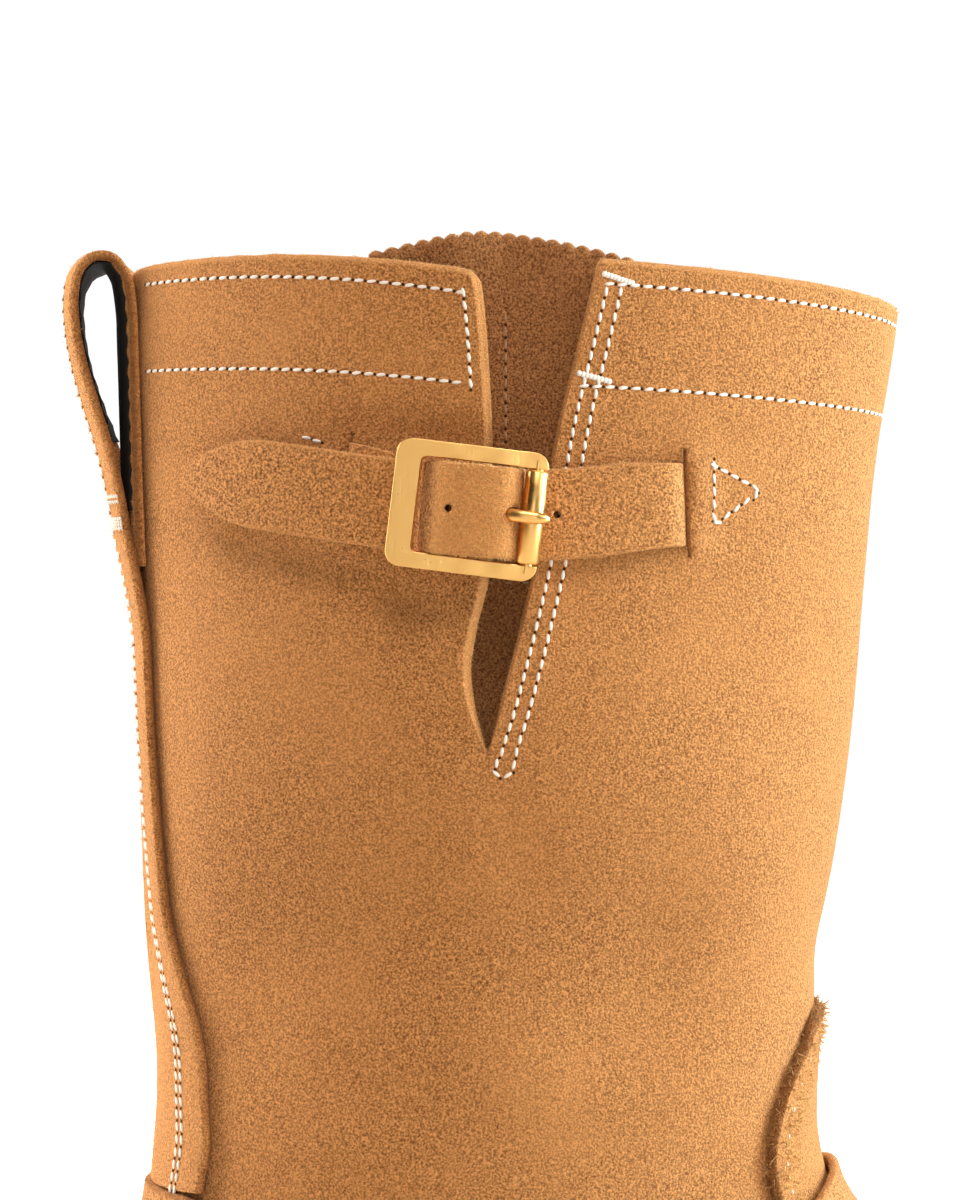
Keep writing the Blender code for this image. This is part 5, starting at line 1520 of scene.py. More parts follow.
def make_sole(leather, rubber):
    """All layers under the upper."""
    settle(make_welt(leather), "sole_leather", "welt")
    under_welt = WELT + 2 * SEAT
    low = under_welt + MIDSOLE + SEAT

    def whole(inset):
        return outline_loop(lambda x: welt_reach(x) - inset)

    def inner(inset):
        return outline_loop(lambda x: -INSOLE_INSET - inset)

    # Each layer: outline, how far its faces lie below the last's edge, material, rounding and slot
    layers = [("midsole", whole, under_welt, under_welt + MIDSOLE, leather, SOLE_EDGE, "sole_leather"),
              ("outsole", whole, low, STACK, rubber, OUTSOLE_EDGE, "sole_rubber"),
              ("insole", inner, -INSOLE_RISE, INSOLE - INSOLE_RISE, leather, SOLE_EDGE, "sole_leather")]
    for node, loop_at, top, bottom, material, edge, slot in layers:
        settle(sole_layer(node + "_layer", loop_at, top, bottom, material, edge), slot, node)
    heel_low = TOP_LIFT + SEAT
    piece = Piece()
    rings = []
    for k in range(LIFT_COUNT):
        for share, groove in ((k, LIFT_GROOVE), (k + 0.07, 0.0), (k + 0.93, 0.0)):
            rings.append((share / LIFT_COUNT, groove))
    rings.append((1.0, LIFT_GROOVE))
    stacked = []
    for share, groove in rings:
        loop = heel_loop(HEEL_TAPER * (1 - share) + groove)
        stacked.append([Vector((x, y, heel_low + share * (feather_z(x) - STACK - SEAT - heel_low)))
                        for x, y in loop])
    piece.rings(stacked, [0.0] * len(stacked[0]))
    settle(finish_object("heel_lifts", piece, [leather]), "sole_leather", "heel_base")
    lift = Piece()
    edge = LIFT_EDGE
    loops = [(HEEL_TAPER + edge, 0.0), (HEEL_TAPER, edge), (HEEL_TAPER, TOP_LIFT - edge),
             (HEEL_TAPER + edge, TOP_LIFT)]
    lift.rings([[Vector((x, y, z)) for x, y in heel_loop(inset)] for inset, z in loops],
               [0.0] * len(heel_loop(0.0)))
    settle(finish_object("rubber_lift", lift, [rubber]), "sole_rubber", "top_lift")


def hex_colour(text):
    """A linear colour from the hex code of an sRGB one."""
    parts = [int(text[i:i + 2], 16) / 255 for i in (0, 2, 4)]
    return tuple(p / 12.92 if p <= 0.04045 else ((p + 0.055) / 1.055) ** 2.4 for p in parts) + (1.0,)


def add_node(tree, kind, inputs=None, **settings):
    """Adds a node with its settings, and sets or links its inputs."""
    node = tree.nodes.new(kind)
    for name, value in settings.items():
        setattr(node, name, value)
    for key, value in (inputs or {}).items():
        if isinstance(value, bpy.types.NodeSocket):
            tree.links.new(value, node.inputs[key])
        else:
            node.inputs[key].default_value = value
    return node


def flow(tree, kind, inputs=None, **settings):
    """Adds a node, and gives its first output."""
    return add_node(tree, kind, inputs, **settings).outputs[0]


class Shading:
    """A material's nodes, with short ways to add what the looks are made of."""

    def __init__(self, name):
        self.material = bpy.data.materials.new(name)
        self.material.use_nodes = True
        self.tree = self.material.node_tree
        self.tree.nodes.clear()

    def places(self, scale=None):
        """Places in metres, drawn out along the axes whose scale is small."""
        found = add_node(self.tree, "ShaderNodeTexCoord").outputs["Object"]
        if scale is None:
            return found
        return add_node(self.tree, "ShaderNodeMapping", {"Vector": found, "Scale": scale}).outputs["Vector"]

    def noise(self, places, scale, detail, roughness=0.5):
        return flow(self.tree, "ShaderNodeTexNoise", {
            "Vector": places, "Scale": scale, "Detail": detail, "Roughness": roughness})

    def share(self, value, low, high, to_low=0.0, to_high=1.0, **settings):
        """A value between low and high, as one between two others."""
        return flow(self.tree, "ShaderNodeMapRange", {
            "Value": value, "From Min": low, "From Max": high, "To Min": to_low, "To Max": to_high},
            **settings)

    def mix(self, share, first, second):
        return add_node(self.tree, "ShaderNodeMix", {MIX_FACTOR: share, MIX_A: first, MIX_B: second},
                        data_type="RGBA").outputs[MIX_COLOUR]

    def bump(self, height, strength, depth):
        return flow(self.tree, "ShaderNodeBump", {
            "Strength": strength, "Distance": depth, "Height": height})

    def finish(self, inputs, kind="ShaderNodeBsdfPrincipled"):
        shader = add_node(self.tree, kind, inputs)
        add_node(self.tree, "ShaderNodeOutputMaterial", {"Surface": shader.outputs[0]})
        return self.material


def shaded(colour, share):
    """A colour made darker and richer, or lighter and paler, as a nap is in its pits and on its tips."""
    return tuple(min(1.0, c * share**power) for c, power in zip(colour, (1.0, 1.25, 1.5))) + (1.0,)


MIX_FACTOR, MIX_A, MIX_B, MIX_COLOUR = 0, 6, 7, 2


def roughout(name, colour, tuft, depth, contrast, pale):
    """Leather with its flesh side out: a dull even nap of speckling tufts, with paler handled patches."""
    made = Shading(name)
    places = made.places()
    tufts = made.noise(places, 1 / tuft, 3.0, 0.65)
    mottle = made.noise(places, 1 / HANDLED_PATCH, 4.0, 0.65)
    edge = add_node(made.tree, "ShaderNodeAttribute", attribute_name="edge").outputs["Fac"]
    dark, light = shaded(colour, 1 - contrast), shaded(colour, 1 + contrast)
    # Speckle follows the tufts' bump: the nap's own tone, with painted shade in its pits and painted
    # highlight on its tips
    colours = made.mix(made.share(tufts, 0.36, 0.64), dark, light)
    colours = made.mix(made.share(mottle, 0.40, 0.70, 0.0, pale), colours, shaded(colour, 1.3))
    # Paler where the edge layer is above zero: cut edges' paler core and the vamp's frayed nap, with painted
    # highlight on lit edges and the strap's highest part, and painted light on the stay's face
    colours = made.mix(made.share(edge, 0.0, 1.0, 0.0, 0.6), colours, shaded(colour, 1.5))
    # Darker where it is below zero: dyed raw edges, with painted shade where the stay's edges face the boot
    colours = made.mix(made.share(edge, 0.0, -1.0, 0.0, 0.8), colours, shaded(colour, 0.35))
    return made.finish({"Base Color": colours, "Roughness": 0.95, "Normal": made.bump(tufts, 1.0, depth),
                        "Specular IOR Level": 0.1, "Sheen Weight": 0.15, "Sheen Roughness": 0.45,
                        "Sheen Tint": hex_colour("F8E4CB")})


def smooth_leather(name, colour, roughness):
    """Grain-side or dressed leather: fine pores and a low soft shine."""
    made = Shading(name)
    places = made.places()
    pores = flow(made.tree, "ShaderNodeTexVoronoi", {"Vector": places, "Scale": 1 / PORE})
    tone = made.share(made.noise(places, 1 / TONE_PATCH, 4.0), 0.35, 0.65)
    return made.finish({"Base Color": made.mix(tone, shaded(colour, 0.8), shaded(colour, 1.15)),
                        "Roughness": roughness, "Normal": made.bump(pores, 0.4, FINE_BUMP),
                        "Specular IOR Level": 0.3})


def cut_sole_leather(name, colour):
    """Sole edges: pressed leather layers with thin lines along them, waxed to a low shine."""
    made = Shading(name)
    lines = made.noise(made.places((0.1, 0.1, 1.0)), 1 / SOLE_LINE, 3.0)
    tone = made.share(lines, 0.35, 0.65)
    return made.finish({"Base Color": made.mix(tone, shaded(colour, 0.7), shaded(colour, 1.2)),
                        "Roughness": 0.5, "Normal": made.bump(lines, 0.3, FINE_BUMP)})


def worn_brass(name, colour):
    """Solid brass, brushed up and down, with a satin sheen and cloudy handling marks."""
    made = Shading(name)
    marks = made.noise(made.places((1.0, 1.0, 0.06)), 1 / BRUSH_MARK, 2.0)
    cloud = made.noise(made.places(), 1 / BRASS_CLOUD, 3.0)
    return made.finish({"Base Color": colour, "Metallic": 1.0,
                        "Roughness": made.share(cloud, 0.35, 0.65, 0.26, 0.42),
                        "Normal": made.bump(marks, 0.25, BRUSH_BUMP)})


def plain(name, colour, roughness, grain=0.0, depth=FINE_BUMP):
    """A dull even material, with a fine grain where one is given: thread, woven tape, rubber."""
    made = Shading(name)
    inputs = {"Base Color": colour, "Roughness": roughness, "Specular IOR Level": 0.25}
    if grain:
        inputs["Normal"] = made.bump(made.noise(made.places(), 1 / grain, 2.0), 0.6, depth)
    return made.finish(inputs)


def glowing(name, colour, strength):
    """A studio surface that gives off even white light."""
    return Shading(name).finish({"Color": colour, "Strength": strength}, "ShaderNodeEmission")


def sweep(name, colour, strength):
    """A pale matt floor that is lit evenly white from a little way behind the boot."""
    made = Shading(name)
    away = add_node(made.tree, "ShaderNodeSeparateXYZ", {0: made.places()}).outputs["Y"]
    glow = made.share(away, *SWEEP, 0.0, strength, interpolation_type="SMOOTHSTEP")
    return made.finish({"Base Color": colour, "Roughness": 0.9, "Emission Color": WHITE,
                        "Emission Strength": glow})


# Seams: every line is a list of (point, direction off the leather)
def laid_line(surface, corners, side=LATERAL, step=0.0012):
    """A line drawn from the side, laid on a surface."""
    line = []
    for (x0, z0), (x1, z1) in zip(corners, corners[1:]):
        count = max(1, int(math.hypot(x1 - x0, z1 - z0) / step))
        for k in range(count):
            share = k / count
            line.append(surface.at(x0 + share * (x1 - x0), z0 + share * (z1 - z0), side))
    line.append(surface.at(*corners[-1], side))
    return line


def row_under_rim(turn, down):
    """The row that lies a distance below the rim."""
    rows = COLLAR_ROW + np.linspace(0, 1, 13)
    depths = [(skin(row, turn) - skin(COLLAR_ROW, turn)).length for row in rows]
    return float(np.interp(down, depths, rows))


def rear_edge_x(row):
    """Where the rear panel ends at the slit."""
    section = section_at(row)
    return section.point(slit_angles(section)[0], LATERAL).x


def rear_rows():
    """The boxed rows of stitches on the panel behind the slit."""
    section = section_at(COLLAR_ROW)
    back = section.last[LATERAL] - section_angle_off(section, STAY_MARGIN)
    lines = []
    start = section.angle_at(rear_edge_x(COLLAR_ROW) - REAR_INSET, LATERAL)
    for at_slit, at_back in REAR_ROWS:
        line = []
        for share in np.linspace(0, 1, 90):
            angle = start + share * (back - start)
            row = row_under_rim(-angle, at_slit + share * (at_back - at_slit))
            line.append(rear_skin(row, -angle, rear_edge_x(row)))
        lines.append(line)
    upright = []
    for down in np.linspace(REAR_ROWS[0][0], REAR_ROWS[1][0], 16):
        row = row_under_rim(-start, down)
        here = section_at(row)
        angle = here.angle_at(rear_edge_x(row) - REAR_INSET, LATERAL)
        upright.append(rear_skin(row, -angle, rear_edge_x(row)))
    return lines + [upright]


def section_angle_off(section, away):
    """How far round from the back seam a distance to the side of it lies."""
    return math.asin(min(1.0, away / section.half[LATERAL]) ** (section.back_full / 2))


def front_rows():
    """The rows below the rim from the slit round the front and the inner side to the stay."""
    section = section_at(COLLAR_ROW)
    lines = []
    end = section.last[MEDIAL] - section_angle_off(section, STAY_MARGIN)
    for at_slit, at_front in FRONT_ROWS:
        here = section_at(row_under_rim(-slit_angles(section)[1], at_slit))
        edge_x = here.point(slit_angles(here)[1], LATERAL).x
        start = -here.angle_at(edge_x + SLIT_ROWS[0], LATERAL)
        turns = np.linspace(start, end, 150)
        downs = np.interp(turns, (start, 0.0), (at_slit, at_front))
        lines.append([worn_skin(row_under_rim(t, down), t) for t, down in zip(turns, downs)])
    return lines


def slit_row_line():
    """The double row along the slit's front edge, which turns back at its foot."""
    heights = np.linspace(SLIT[-1].z - 0.0075, SLIT[0].z - 0.0008, 40)
    near, far = [[(column(SLIT, "z", "right_x", z) + inset, z) for z in heights] for inset in SLIT_ROWS]
    return near + SLIT_TURN + far[::-1]


def place_out(place, v):
    """The direction outwards from a strip, at a place across it."""
    return (place(v, 0.002) - place(v, 0.001)).normalized()


def strip_line(stations, v_at, n):
    """A line along the stay or the loop, at a place across it."""
    line = []
    for place, half, thick in stations:
        v = v_at(half)
        point = place(v, n * thick / 2)
        line.append((point, (place(v, n * thick / 2 + n * 0.001) - point).normalized()))
    return line


def edge_rows(rows, turn_at, off, inset):
    """A line inside an overlay's edge, on one side of the boot. turn_at(row) gives the edge's angle."""
    line = []
    for row in rows:
        edge = turn_at(row)
        arc = (skin(row, edge) - skin(row, edge * 0.97)).length / max(abs(edge) * 0.03, 1e-6)
        turn = math.copysign(max(0.0, abs(edge) - inset / max(arc, 1e-6)), edge)
        line.append(worn_skin(row, turn, off))
    return line


def line_object(name, lines, lift=0.0):
    """Lines as a wire mesh with the direction off the leather as an attribute."""
    points, edges, lays = [], [], []
    for line in lines:
        for k, (point, lay) in enumerate(line):
            if k:
                edges.append((len(points) - 1, len(points)))
            points.append(Vector(point) + lay * lift + LAST_TO_FRAME)
            lays.append(lay)
    mesh = bpy.data.meshes.new(name)
    mesh.from_pydata([tuple(p) for p in points], edges, [])
    attribute = mesh.attributes.new("lay", "FLOAT_VECTOR", "POINT")
    attribute.data.foreach_set("vector", [c for lay in lays for c in lay])
    made = bpy.data.objects.new(name, mesh)
    bpy.context.scene.collection.objects.link(made)
    return made


def group_tree(name, sockets):
    """A geometry tree with named inputs, and the input node's outputs."""
    tree = bpy.data.node_groups.new(name, "GeometryNodeTree")
    tree.interface.new_socket("Geometry", in_out="INPUT", socket_type="NodeSocketGeometry")
    for label, kind in sockets:
        tree.interface.new_socket(label, in_out="INPUT", socket_type=kind)
    tree.interface.new_socket("Geometry", in_out="OUTPUT", socket_type="NodeSocketGeometry")
    return tree, add_node(tree, "NodeGroupInput").outputs


def worked(tree, operation, *values):
    """The result of a sum on a tree's values."""
    return flow(tree, "ShaderNodeMath", dict(enumerate(values)), operation=operation)


def joined_axes(tree, **axes):
    """A vector of values along the axes, in a tree."""
    return flow(tree, "ShaderNodeCombineXYZ", axes)


def bead(tree, segments, rings, **change):
    """A small ball, drawn out and moved."""
    ball = add_node(tree, "GeometryNodeMeshUVSphere", {"Segments": segments, "Rings": rings, "Radius": 0.5})
    return flow(tree, "GeometryNodeTransform", {"Geometry": ball.outputs["Mesh"], **change})


def planted(tree, places, instance, rotation, material, **more):
    """Instances on points, made real and given their material."""
    copies = flow(tree, "GeometryNodeInstanceOnPoints", {
        "Points": places, "Instance": instance, "Rotation": rotation, **more})
    real = flow(tree, "GeometryNodeRealizeInstances", {"Geometry": copies})
    return flow(tree, "GeometryNodeSetMaterial", {"Geometry": real, "Material": material})


def stitch_tree():
    """Stitches with a dark bead of painted shade for the needle hole between each two, along a wire."""
    tree, given = group_tree("stitched_line", [
        ("Pitch", "NodeSocketFloat"), ("Length", "NodeSocketFloat"), ("Width", "NodeSocketFloat"),
        ("Lean", "NodeSocketFloat"), ("Seed", "NodeSocketInt"), ("Thread", "NodeSocketMaterial"),
        ("Hole Width", "NodeSocketFloat"), ("Hole", "NodeSocketMaterial")])
    curve = add_node(tree, "GeometryNodeMeshToCurve", {"Mesh": given["Geometry"]}).outputs["Curve"]
    places = add_node(tree, "GeometryNodeResampleCurve", {"Curve": curve, "Length": given["Pitch"]},
                      mode="LENGTH").outputs["Curve"]
    lay = flow(tree, "GeometryNodeInputNamedAttribute", {"Name": "lay"},
               data_type="FLOAT_VECTOR")
    along = flow(tree, "GeometryNodeInputTangent")
    flat = flow(tree, "FunctionNodeAxesToRotation", {"Primary Axis": lay, "Secondary Axis": along},
                primary_axis="Z", secondary_axis="X")
    jitter = add_node(tree, "FunctionNodeRandomValue", {"Min": -0.07, "Max": 0.07, "Seed": given["Seed"]},
                      data_type="FLOAT").outputs[1]
    spin = joined_axes(tree, Z=worked(tree, "ADD", given["Lean"], jitter))
    turned = flow(tree, "FunctionNodeRotateRotation", {"Rotation": flat, "Rotate By": spin},
                  rotation_space="LOCAL")
    length, width, wide = given["Length"], given["Width"], given["Hole Width"]
    size = joined_axes(tree, X=length, Y=width, Z=worked(tree, "MULTIPLY", width, 0.75))
    stitches = planted(tree, places, bead(tree, 8, 6, Scale=size), turned, given["Thread"])
    beside = joined_axes(tree, X=worked(tree, "MULTIPLY", given["Pitch"], 0.5))
    pit = joined_axes(tree, X=wide, Y=wide, Z=worked(tree, "MULTIPLY", wide, 0.2))
    # A flat dark bead between each two stitches: painted shade of the needle hole
    pits = planted(tree, places, bead(tree, 6, 4, Translation=beside, Scale=pit), flat, given["Hole"])
    joined = add_node(tree, "GeometryNodeJoinGeometry")
    for branch in (stitches, pits):
        tree.links.new(branch, joined.inputs[0])
    smooth = flow(tree, "GeometryNodeSetShadeSmooth", {"Geometry": joined.outputs[0]})
    add_node(tree, "NodeGroupOutput", {"Geometry": smooth})
    return tree


def fibre_tree():
    """Loose fibres that stand off the raw edges of a leather piece, most of them short."""
    tree, given = group_tree("raw_edge_fibres", [
        ("Density", "NodeSocketFloat"), ("Length", "NodeSocketFloat"), ("Width", "NodeSocketFloat"),
        ("Spread", "NodeSocketFloat"), ("Seed", "NodeSocketInt"), ("Fibre", "NodeSocketMaterial")])
    edge = flow(tree, "GeometryNodeInputNamedAttribute", {"Name": "edge"}, data_type="FLOAT")
    density = worked(tree, "MULTIPLY", worked(tree, "ABSOLUTE", edge), given["Density"])
    scattered = add_node(tree, "GeometryNodeDistributePointsOnFaces", {
        "Mesh": given["Geometry"], "Density": density, "Seed": given["Seed"]}).outputs
    corner = Vector((1.0, 1.0, 1.0))
    stray = flow(tree, "FunctionNodeRandomValue", {"Min": -corner, "Max": corner, "Seed": given["Seed"]},
                 data_type="FLOAT_VECTOR")
    bend = flow(tree, "ShaderNodeVectorMath", {0: stray, "Scale": given["Spread"]},
                operation="SCALE")
    way = flow(tree, "ShaderNodeVectorMath", {0: scattered["Normal"], 1: bend},
               operation="ADD")
    facing = flow(tree, "FunctionNodeAlignRotationToVector", {"Vector": way}, axis="Z")
    stalk = add_node(tree, "GeometryNodeMeshCone", {"Vertices": 3, "Side Segments": 1, "Radius Top": 0.0,
                                                    "Radius Bottom": given["Width"],
                                                    "Depth": given["Length"]}).outputs["Mesh"]
    chance = add_node(tree, "FunctionNodeRandomValue", {2: 0.0, 3: 1.0, "Seed": given["Seed"]},
                      data_type="FLOAT").outputs[1]
    long = worked(tree, "MULTIPLY_ADD", worked(tree, "POWER", chance, 4.0), 0.75, 0.25)
    done = planted(tree, scattered["Points"], stalk, facing, given["Fibre"], Scale=long)
    add_node(tree, "NodeGroupOutput", {"Geometry": done})
    return tree


def grown(made, tree, values):
    """Runs a geometry tree on an object and turns the result into plain mesh."""
    change = made.modifiers.new(tree.name, "NODES")
    change.node_group = tree
    for item in tree.interface.items_tree:
        if item.in_out == "INPUT" and item.name in values:
            change[item.identifier] = values[item.name]
    return with_modifiers(made)


def colour_choice(name, description, code):
    """A colour that a user can change."""
    return FloatVectorProperty(name=name, description=description, subtype="COLOR", size=4,
                               default=hex_colour(code), min=0, max=1)


def length_choice(name, description, default, low, high):
    """A length that a user can change."""
    return FloatProperty(name=name, description=description, default=default, min=low, max=high,
                         unit="LENGTH", precision=5)


def power_choice(name, description, default):
    """A light's power that a user can change."""
    return FloatProperty(name=name, description=description, default=default, min=0, unit="POWER")


class LeatherLook(PropertyGroup):
    """Colours and nap of the leathers."""

    body: colour_choice("Body", "Roughout leather of the boot", "BE7D43")
    strap: colour_choice("Straps", "Roughout leather of the straps", "BE7D43")
    gusset: colour_choice("Gusset", "Leather behind the slit", "A06638")
    inside: colour_choice("Inside", "Smooth face inside the boot", "A8713F")
    sole: colour_choice("Sole leather", "Welt, midsole and heel lifts", "A87847")
    rubber: colour_choice("Rubber", "Outsole and top lift", "33261D")
    tuft: length_choice("Tuft size", "Size of the body's tufts", 0.00045, 0.0002, 0.004)
    strap_tuft: length_choice("Strap tuft size", "Size of the straps' tufts", 0.0005, 0.0002, 0.004)
    nap: length_choice("Nap depth", "Depth of the nap's bump", 0.0008, 0, 0.002)


class SeamLook(PropertyGroup):
    """Sizes and colours of the seams."""

    thread: colour_choice("Thread", "Sewing thread", "EDE4D6")
    pitch: length_choice("Stitch pitch", "Distance from stitch to stitch", 0.0026, 0.001, 0.01)
    length: length_choice("Stitch length", "Length of a stitch that shows", 0.0020, 0.0005, 0.008)
    width: length_choice("Thread width", "Width of the thread", 0.00074, 0.0002, 0.002)
    seed: IntProperty(name="Seed", description="Seed of the seams' and fibres' chance", default=7, min=0)


class MetalLook(PropertyGroup):
    """Colour of the buckles."""

    brass: colour_choice("Brass", "Solid brass", "F2BE70")


class StageLook(PropertyGroup):
    """Studio light and camera."""

    key: power_choice("Key light", "Power of the light above the front", 11.2)
    fill: power_choice("Side lights", "Power of the lights beside the boot", 15.5)
    front: power_choice("Front light", "Power of the soft light behind the camera", 2.0)
    white: FloatProperty(name="Backdrop", description="Brightness of the backdrop", default=1.05, min=0)
    lens: FloatProperty(name="Lens", description="The camera's focal length", default=75.9, min=10,
                        unit="CAMERA")


def shared(name, make, *given):
    """A material made once and used by several pieces."""
    return bpy.data.materials.get(name) or make(name, *given)


def body_leather(scene):
    look = scene.boot_leather
    return shared("roughout leather, body", roughout, tuple(look.body), look.tuft, look.nap, *BODY_NAP)


def inside_leather(scene):
    return shared("smooth leather, inside", smooth_leather, tuple(scene.boot_leather.inside), 0.6)


def strap_leather(scene):
    look = scene.boot_leather
    return shared("roughout leather, straps", roughout, tuple(look.strap), look.strap_tuft, look.nap,
                  *STRAP_NAP)


class BOOT_OT_upper(Operator):
    """Shaft and foot of the upper, with its creases, cut edges and slots"""

    bl_idname = "boot.upper"
    bl_label = "Upper"

    def execute(self, context):
        scene = context.scene
        settle(make_upper([body_leather(scene), inside_leather(scene)]), "roughout_leather", "upper")
        return {"FINISHED"}


class BOOT_OT_overlays(Operator):
    """Vamp and heel counter on the upper"""

    bl_idname = "boot.overlays"
    bl_label = "Vamp and counter"

    def execute(self, context):
        leather = [body_leather(context.scene)]
        settle(make_vamp(leather), "roughout_leather", "vamp")
        settle(make_counter(leather), "roughout_leather", "heel_counter")
        return {"FINISHED"}


class BOOT_OT_back_stay(Operator):
    """Back stay that runs on into the pull loop, and the loop's tape"""

    bl_idname = "boot.back_stay"
    bl_label = "Back stay and pull loop"

    def execute(self, context):
        leather = [body_leather(context.scene)]
        settle(make_back_strip(leather), "roughout_leather", "back_stay", "pull_loop")
        black = shared("black woven tape", plain, hex_colour("15130F"), 0.85, 0.0005, 0.0002)
        settle(make_loop_tape(black), None)
        return {"FINISHED"}


class BOOT_OT_gusset(Operator):
    """Bellows gusset with a pinked top edge"""

    bl_idname = "boot.gusset"
    bl_label = "Gusset"

    def execute(self, context):
        look = context.scene.boot_leather
        leather = shared("roughout leather, gusset", roughout, tuple(look.gusset), look.tuft, look.nap,
                         *GUSSET_NAP)
        settle(make_gusset(SideSurface(smooth_skin_tree()), [leather]), "gusset_leather", "gusset")
        return {"FINISHED"}


class BOOT_OT_straps(Operator):
    """Both straps, each a billet and a chape, with their holes"""

    bl_idname = "boot.straps"
    bl_label = "Straps"

    def execute(self, context):
        leather = [strap_leather(context.scene)]
        tree = smooth_skin_tree()
        billet_at, chape_at, _ = top_places(SideSurface(tree))
        instep_at, _ = instep_places(tree)
        parts = [("top", "billet", TOP_BILLET, billet_at), ("top", "chape", TOP_CHAPE, chape_at),
                 ("instep", "billet", instep_billet_path(), instep_at),
                 ("instep", "chape", INSTEP_CHAPE_ANCHOR + CHAPE_FOLD, instep_at)]
        for prefix, part, path, place in parts:
            made = finish_object(f"{prefix}_{part}_leather", strap_piece(path, place, EDGE_TONE_AND_HIGHLIGHT), leather)
            slot = PRONG_SLOT if part == "billet" else RING_SLOT
            holes = [cutter("prong hole", hole_rings(place, *slot, STRAP_REACH))]
            if part == "billet":
                for k, along in enumerate(TOP_PUNCHES):
                    holes.append(cutter(f"punch {k}", hole_rings(place, along, PUNCH_RADIUS, PUNCH_RADIUS,
                                                                 STRAP_REACH)))
            cut_away(made, holes)
            settle(made, "roughout_leather", f"{prefix}_strap_{part}")
        return {"FINISHED"}


class BOOT_OT_buckles(Operator):
    """Both roller buckles"""

    bl_idname = "boot.buckles"
    bl_label = "Buckles"

    def execute(self, context):
        brass = shared("worn solid brass", worn_brass, tuple(context.scene.boot_metal.brass))
        tree = smooth_skin_tree()
        make_buckle("top", top_places(SideSurface(tree))[2], brass)
        make_buckle("instep", instep_places(tree)[1], brass)
        return {"FINISHED"}


class BOOT_OT_sole(Operator):
    """Welt, midsole, outsole, insole and heel"""

    bl_idname = "boot.sole"
    bl_label = "Sole"

    def execute(self, context):
        look = context.scene.boot_leather
        leather = shared("waxed sole leather", cut_sole_leather, tuple(look.sole))
        rubber = shared("dark brown rubber", plain, tuple(look.rubber), 0.7, 0.001, 0.0001)
        make_sole(leather, rubber)
        return {"FINISHED"}


def seam_lines():
    """Every visible seam of the upper and its overlays, by kind of thread."""
    upper = surface_of(bpy.data.objects["upper_leather"])
    white = [*rear_rows(), *front_rows(), laid_line(upper, slit_row_line()), laid_line(upper, TRIANGLE),
             laid_line(upper, SPOT_STITCH)]
    stations = back_strip()
    outside = stations[:-int(0.6 * LOOP_STATIONS)]
    for inset in STAY_SEAMS:
        for side in BOTH:
            white.append(strip_line(outside, lambda half: side * (half - inset), 1))
    sunk = []
    for side in BOTH:
        open_rows = [r for r in vamp_rows()[3:] if is_open(r, side, vamp_turn)]
        sunk.append(edge_rows(open_rows, lambda r: side * vamp_turn(r, side), SEAT + OVERLAY, VAMP_SEAM))
        for inset in COUNTER_SEAMS:
            line = []
            for row in counter_rows()[4:]:
                turn = counter_turn(row, side) + inset / section_at(row).half[side]
                line.append(worn_skin(row, side * turn, SEAT + COUNTER))
            white.append(line)
    thick = [laid_line(upper, RIM_TACK), laid_line(upper, SLIT_TACK)]
    tacks = []
    for at in LOOP_TACKS:
        place = loop_place(LOOP_AT[-1] - at)
        across = np.linspace(-LOOP_HALF, LOOP_HALF, 24)
        tacks.append([(place(v, LOOP_THICK / 2), place_out(place, v)) for v in across])
    gusset = surface_of(bpy.data.objects["gusset_leather"])
    folds = [laid_line(gusset, line) for line in GUSSET_SEAMS]
    return white, sunk, thick, tacks, folds


class BOOT_OT_stitching(Operator):
    """Stitches and needle holes along the seams"""

    bl_idname = "boot.stitching"
    bl_label = "Stitching"

    def execute(self, context):
        look = context.scene.boot_seams
        thread = shared("waxed cream thread", plain, tuple(look.thread), 0.7)
        hole = shared("needle hole shade", plain, hex_colour("3E2614"), 1.0)
        tree = stitch_tree()
        white, sunk, thick, tacks, folds = seam_lines()
        up = Vector((0, 0, 1))
        plan = outline_loop(lambda x: welt_reach(x) - WELT_SEAM)
        welt = [(Vector((x, y, feather_z(round(x, 6)) - SEAT)), up) for x, y in plan]
        faint = shared("worn brown thread", plain, hex_colour("B08A66"), 0.8)
        pitch, length, width = look.pitch, look.length, look.width
        # Name, lines, thread, pitch, length, width, lean and width of the needle holes
        kinds = [("upper_stitches", white, thread, pitch, length, width, 0.17, width),
                 ("vamp_stitches", sunk, thread, 0.0057, 0.0012, 0.0004, 0.3, HIDDEN_HOLE),
                 ("bar_tacks", thick, thread, 0.0007, 0.0013, 1.5 * width, 1.35, HIDDEN_HOLE),
                 ("loop_tacks", tacks, thread, 0.0011, 0.0016, width, 0.5, HIDDEN_HOLE),
                 ("gusset_stitches", folds, faint, pitch, 0.8 * length, 0.7 * width, 0.0, width),
                 ("welt_stitches", [welt], thread, 0.0042, 0.0034, 0.0009, 0.0, 0.0009)]
        for name, lines, strand, pitch, length, width, lean, pit in kinds:
            made = line_object(name, lines)
            grown(made, tree, {"Pitch": pitch, "Length": length, "Width": width, "Lean": lean,
                               "Seed": look.seed, "Thread": strand, "Hole Width": pit, "Hole": hole})
            settle(made, None)
        return {"FINISHED"}


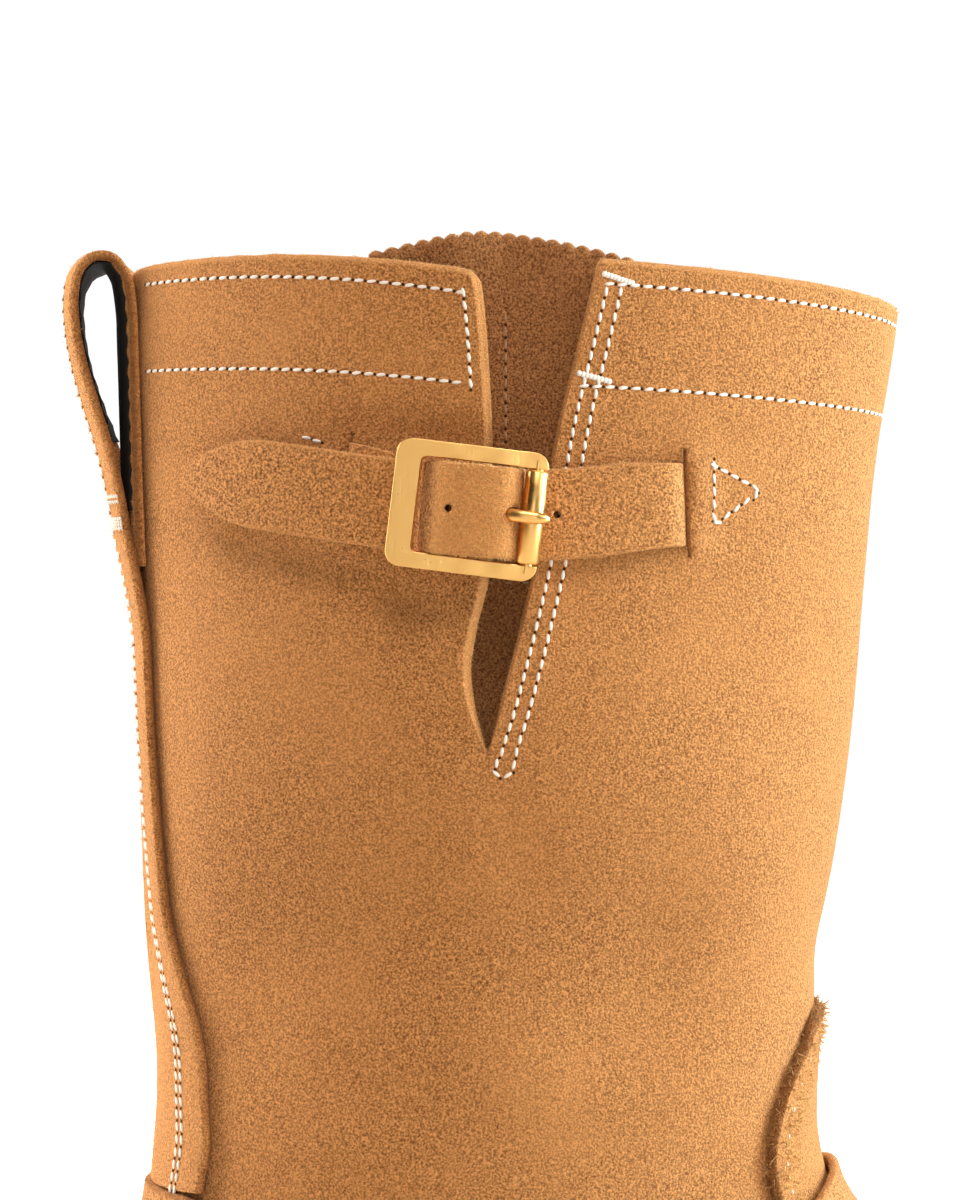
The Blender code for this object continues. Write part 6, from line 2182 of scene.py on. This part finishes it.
class BOOT_OT_fibres(Operator):
    """Loose fibres on the raw edges"""

    bl_idname = "boot.fibres"
    bl_label = "Fibres"

    def execute(self, context):
        scene = context.scene
        look = scene.boot_leather
        colour = shaded(tuple(look.body), FIBRE_SHADE)
        fibre = shared("leather fibre", roughout, colour, look.tuft, look.nap, *FIBRE_NAP)
        tree = fibre_tree()
        for name, density, length, width in RAW_EDGES:
            made = bpy.data.objects[name].copy()
            made.data = made.data.copy()
            made.name = name + "_fibres"
            scene.collection.objects.link(made)
            grown(made, tree, {"Density": density, "Length": length, "Width": width, "Spread": FIBRE_SPREAD,
                               "Seed": scene.boot_seams.seed, "Fibre": fibre})
            settle(made, "roughout_leather")
        return {"FINISHED"}


def round_place(radius, turn, z):
    """A place round the frame's middle, in the last frame."""
    return Vector((radius * math.cos(turn), radius * math.sin(turn), z)) - LAST_TO_FRAME


def area_light(name, at, size, power, tint):
    """A softbox that looks at the boot."""
    data = bpy.data.lights.new(name, "AREA")
    data.shape = "RECTANGLE"
    data.size, data.size_y = size
    data.energy = power
    data.color = hex_colour(tint)[:3]
    made = bpy.data.objects.new(name, data)
    made.location = at
    made.rotation_euler = (Vector(AIM) - Vector(at)).to_track_quat("-Z", "Y").to_euler()
    bpy.context.scene.collection.objects.link(made)


class BOOT_OT_stage(Operator):
    """Pale floor, white backdrop, soft studio light and the camera"""

    bl_idname = "boot.stage"
    bl_label = "Stage"

    def execute(self, context):
        scene = context.scene
        look = scene.boot_stage
        floor = Piece()
        turns = np.linspace(0, 2 * math.pi, 65)[:-1]
        floor.face([floor.add(round_place(FLOOR_RADIUS, t, -FLOOR_UNDER)) for t in turns])
        finish_object("floor", floor, [sweep("pale floor", hex_colour("D2C8BC"), look.white)])
        wall = Piece()
        turns = np.linspace(0, math.pi, 33)
        wall.lattice([[wall.add(round_place(BACKDROP_RADIUS, t, z)) for t in turns]
                      for z in (BACKDROP_HEIGHT, -BACKDROP_UNDER)])
        finish_object("backdrop", wall, [glowing("lit white backdrop", WHITE, look.white)])
        for name, at, size, power, share, tint in SOFTBOXES:
            area_light(name, at, size, share * getattr(look, power), tint)
        world = bpy.data.worlds.new("dim room")
        world.use_nodes = True
        world.node_tree.nodes["Background"].inputs["Color"].default_value = hex_colour("FFE3CC")
        world.node_tree.nodes["Background"].inputs["Strength"].default_value = ROOM_LIGHT
        scene.world = world
        data = bpy.data.cameras.new("camera")
        data.sensor_fit = "VERTICAL"
        data.sensor_height = CAMERA_SENSOR
        data.lens = look.lens
        camera = bpy.data.objects.new("camera", data)
        camera.location = CAMERA_AT
        camera.rotation_euler = (math.radians(90), 0, 0)
        scene.collection.objects.link(camera)
        scene.camera = camera
        scene.view_settings.view_transform = "Standard"
        return {"FINISHED"}


STEPS = [BOOT_OT_upper, BOOT_OT_overlays, BOOT_OT_back_stay, BOOT_OT_gusset, BOOT_OT_straps, BOOT_OT_buckles,
         BOOT_OT_sole, BOOT_OT_stitching, BOOT_OT_fibres, BOOT_OT_stage]


class BOOT_PT_looks(Panel):
    """Sizes, colours and steps of the boot's looks"""

    bl_label = "Engineer boot"
    bl_idname = "BOOT_PT_looks"
    bl_space_type = "VIEW_3D"
    bl_region_type = "UI"
    bl_category = "Boot"

    def draw(self, context):
        for name in GROUPS:
            box = self.layout.box()
            group = getattr(context.scene, name)
            for key in group.bl_rna.properties.keys():
                if key not in {"rna_type", "name"}:
                    box.prop(group, key)
        for step in STEPS:
            self.layout.operator(step.bl_idname)


GROUPS = {"boot_leather": LeatherLook, "boot_seams": SeamLook, "boot_metal": MetalLook,
          "boot_stage": StageLook}
CLASSES = [*GROUPS.values(), *STEPS, BOOT_PT_looks]


def register():
    for kind in CLASSES:
        bpy.utils.register_class(kind)
    for name, kind in GROUPS.items():
        setattr(bpy.types.Scene, name, PointerProperty(type=kind))


def unregister():
    for name in GROUPS:
        delattr(bpy.types.Scene, name)
    for kind in reversed(CLASSES):
        bpy.utils.unregister_class(kind)


def main():
    """Dresses the part."""
    register()
    for step in STEPS:
        area, name = step.bl_idname.split(".")
        getattr(getattr(bpy.ops, area), name)()


if __name__ == "__main__":
    main()
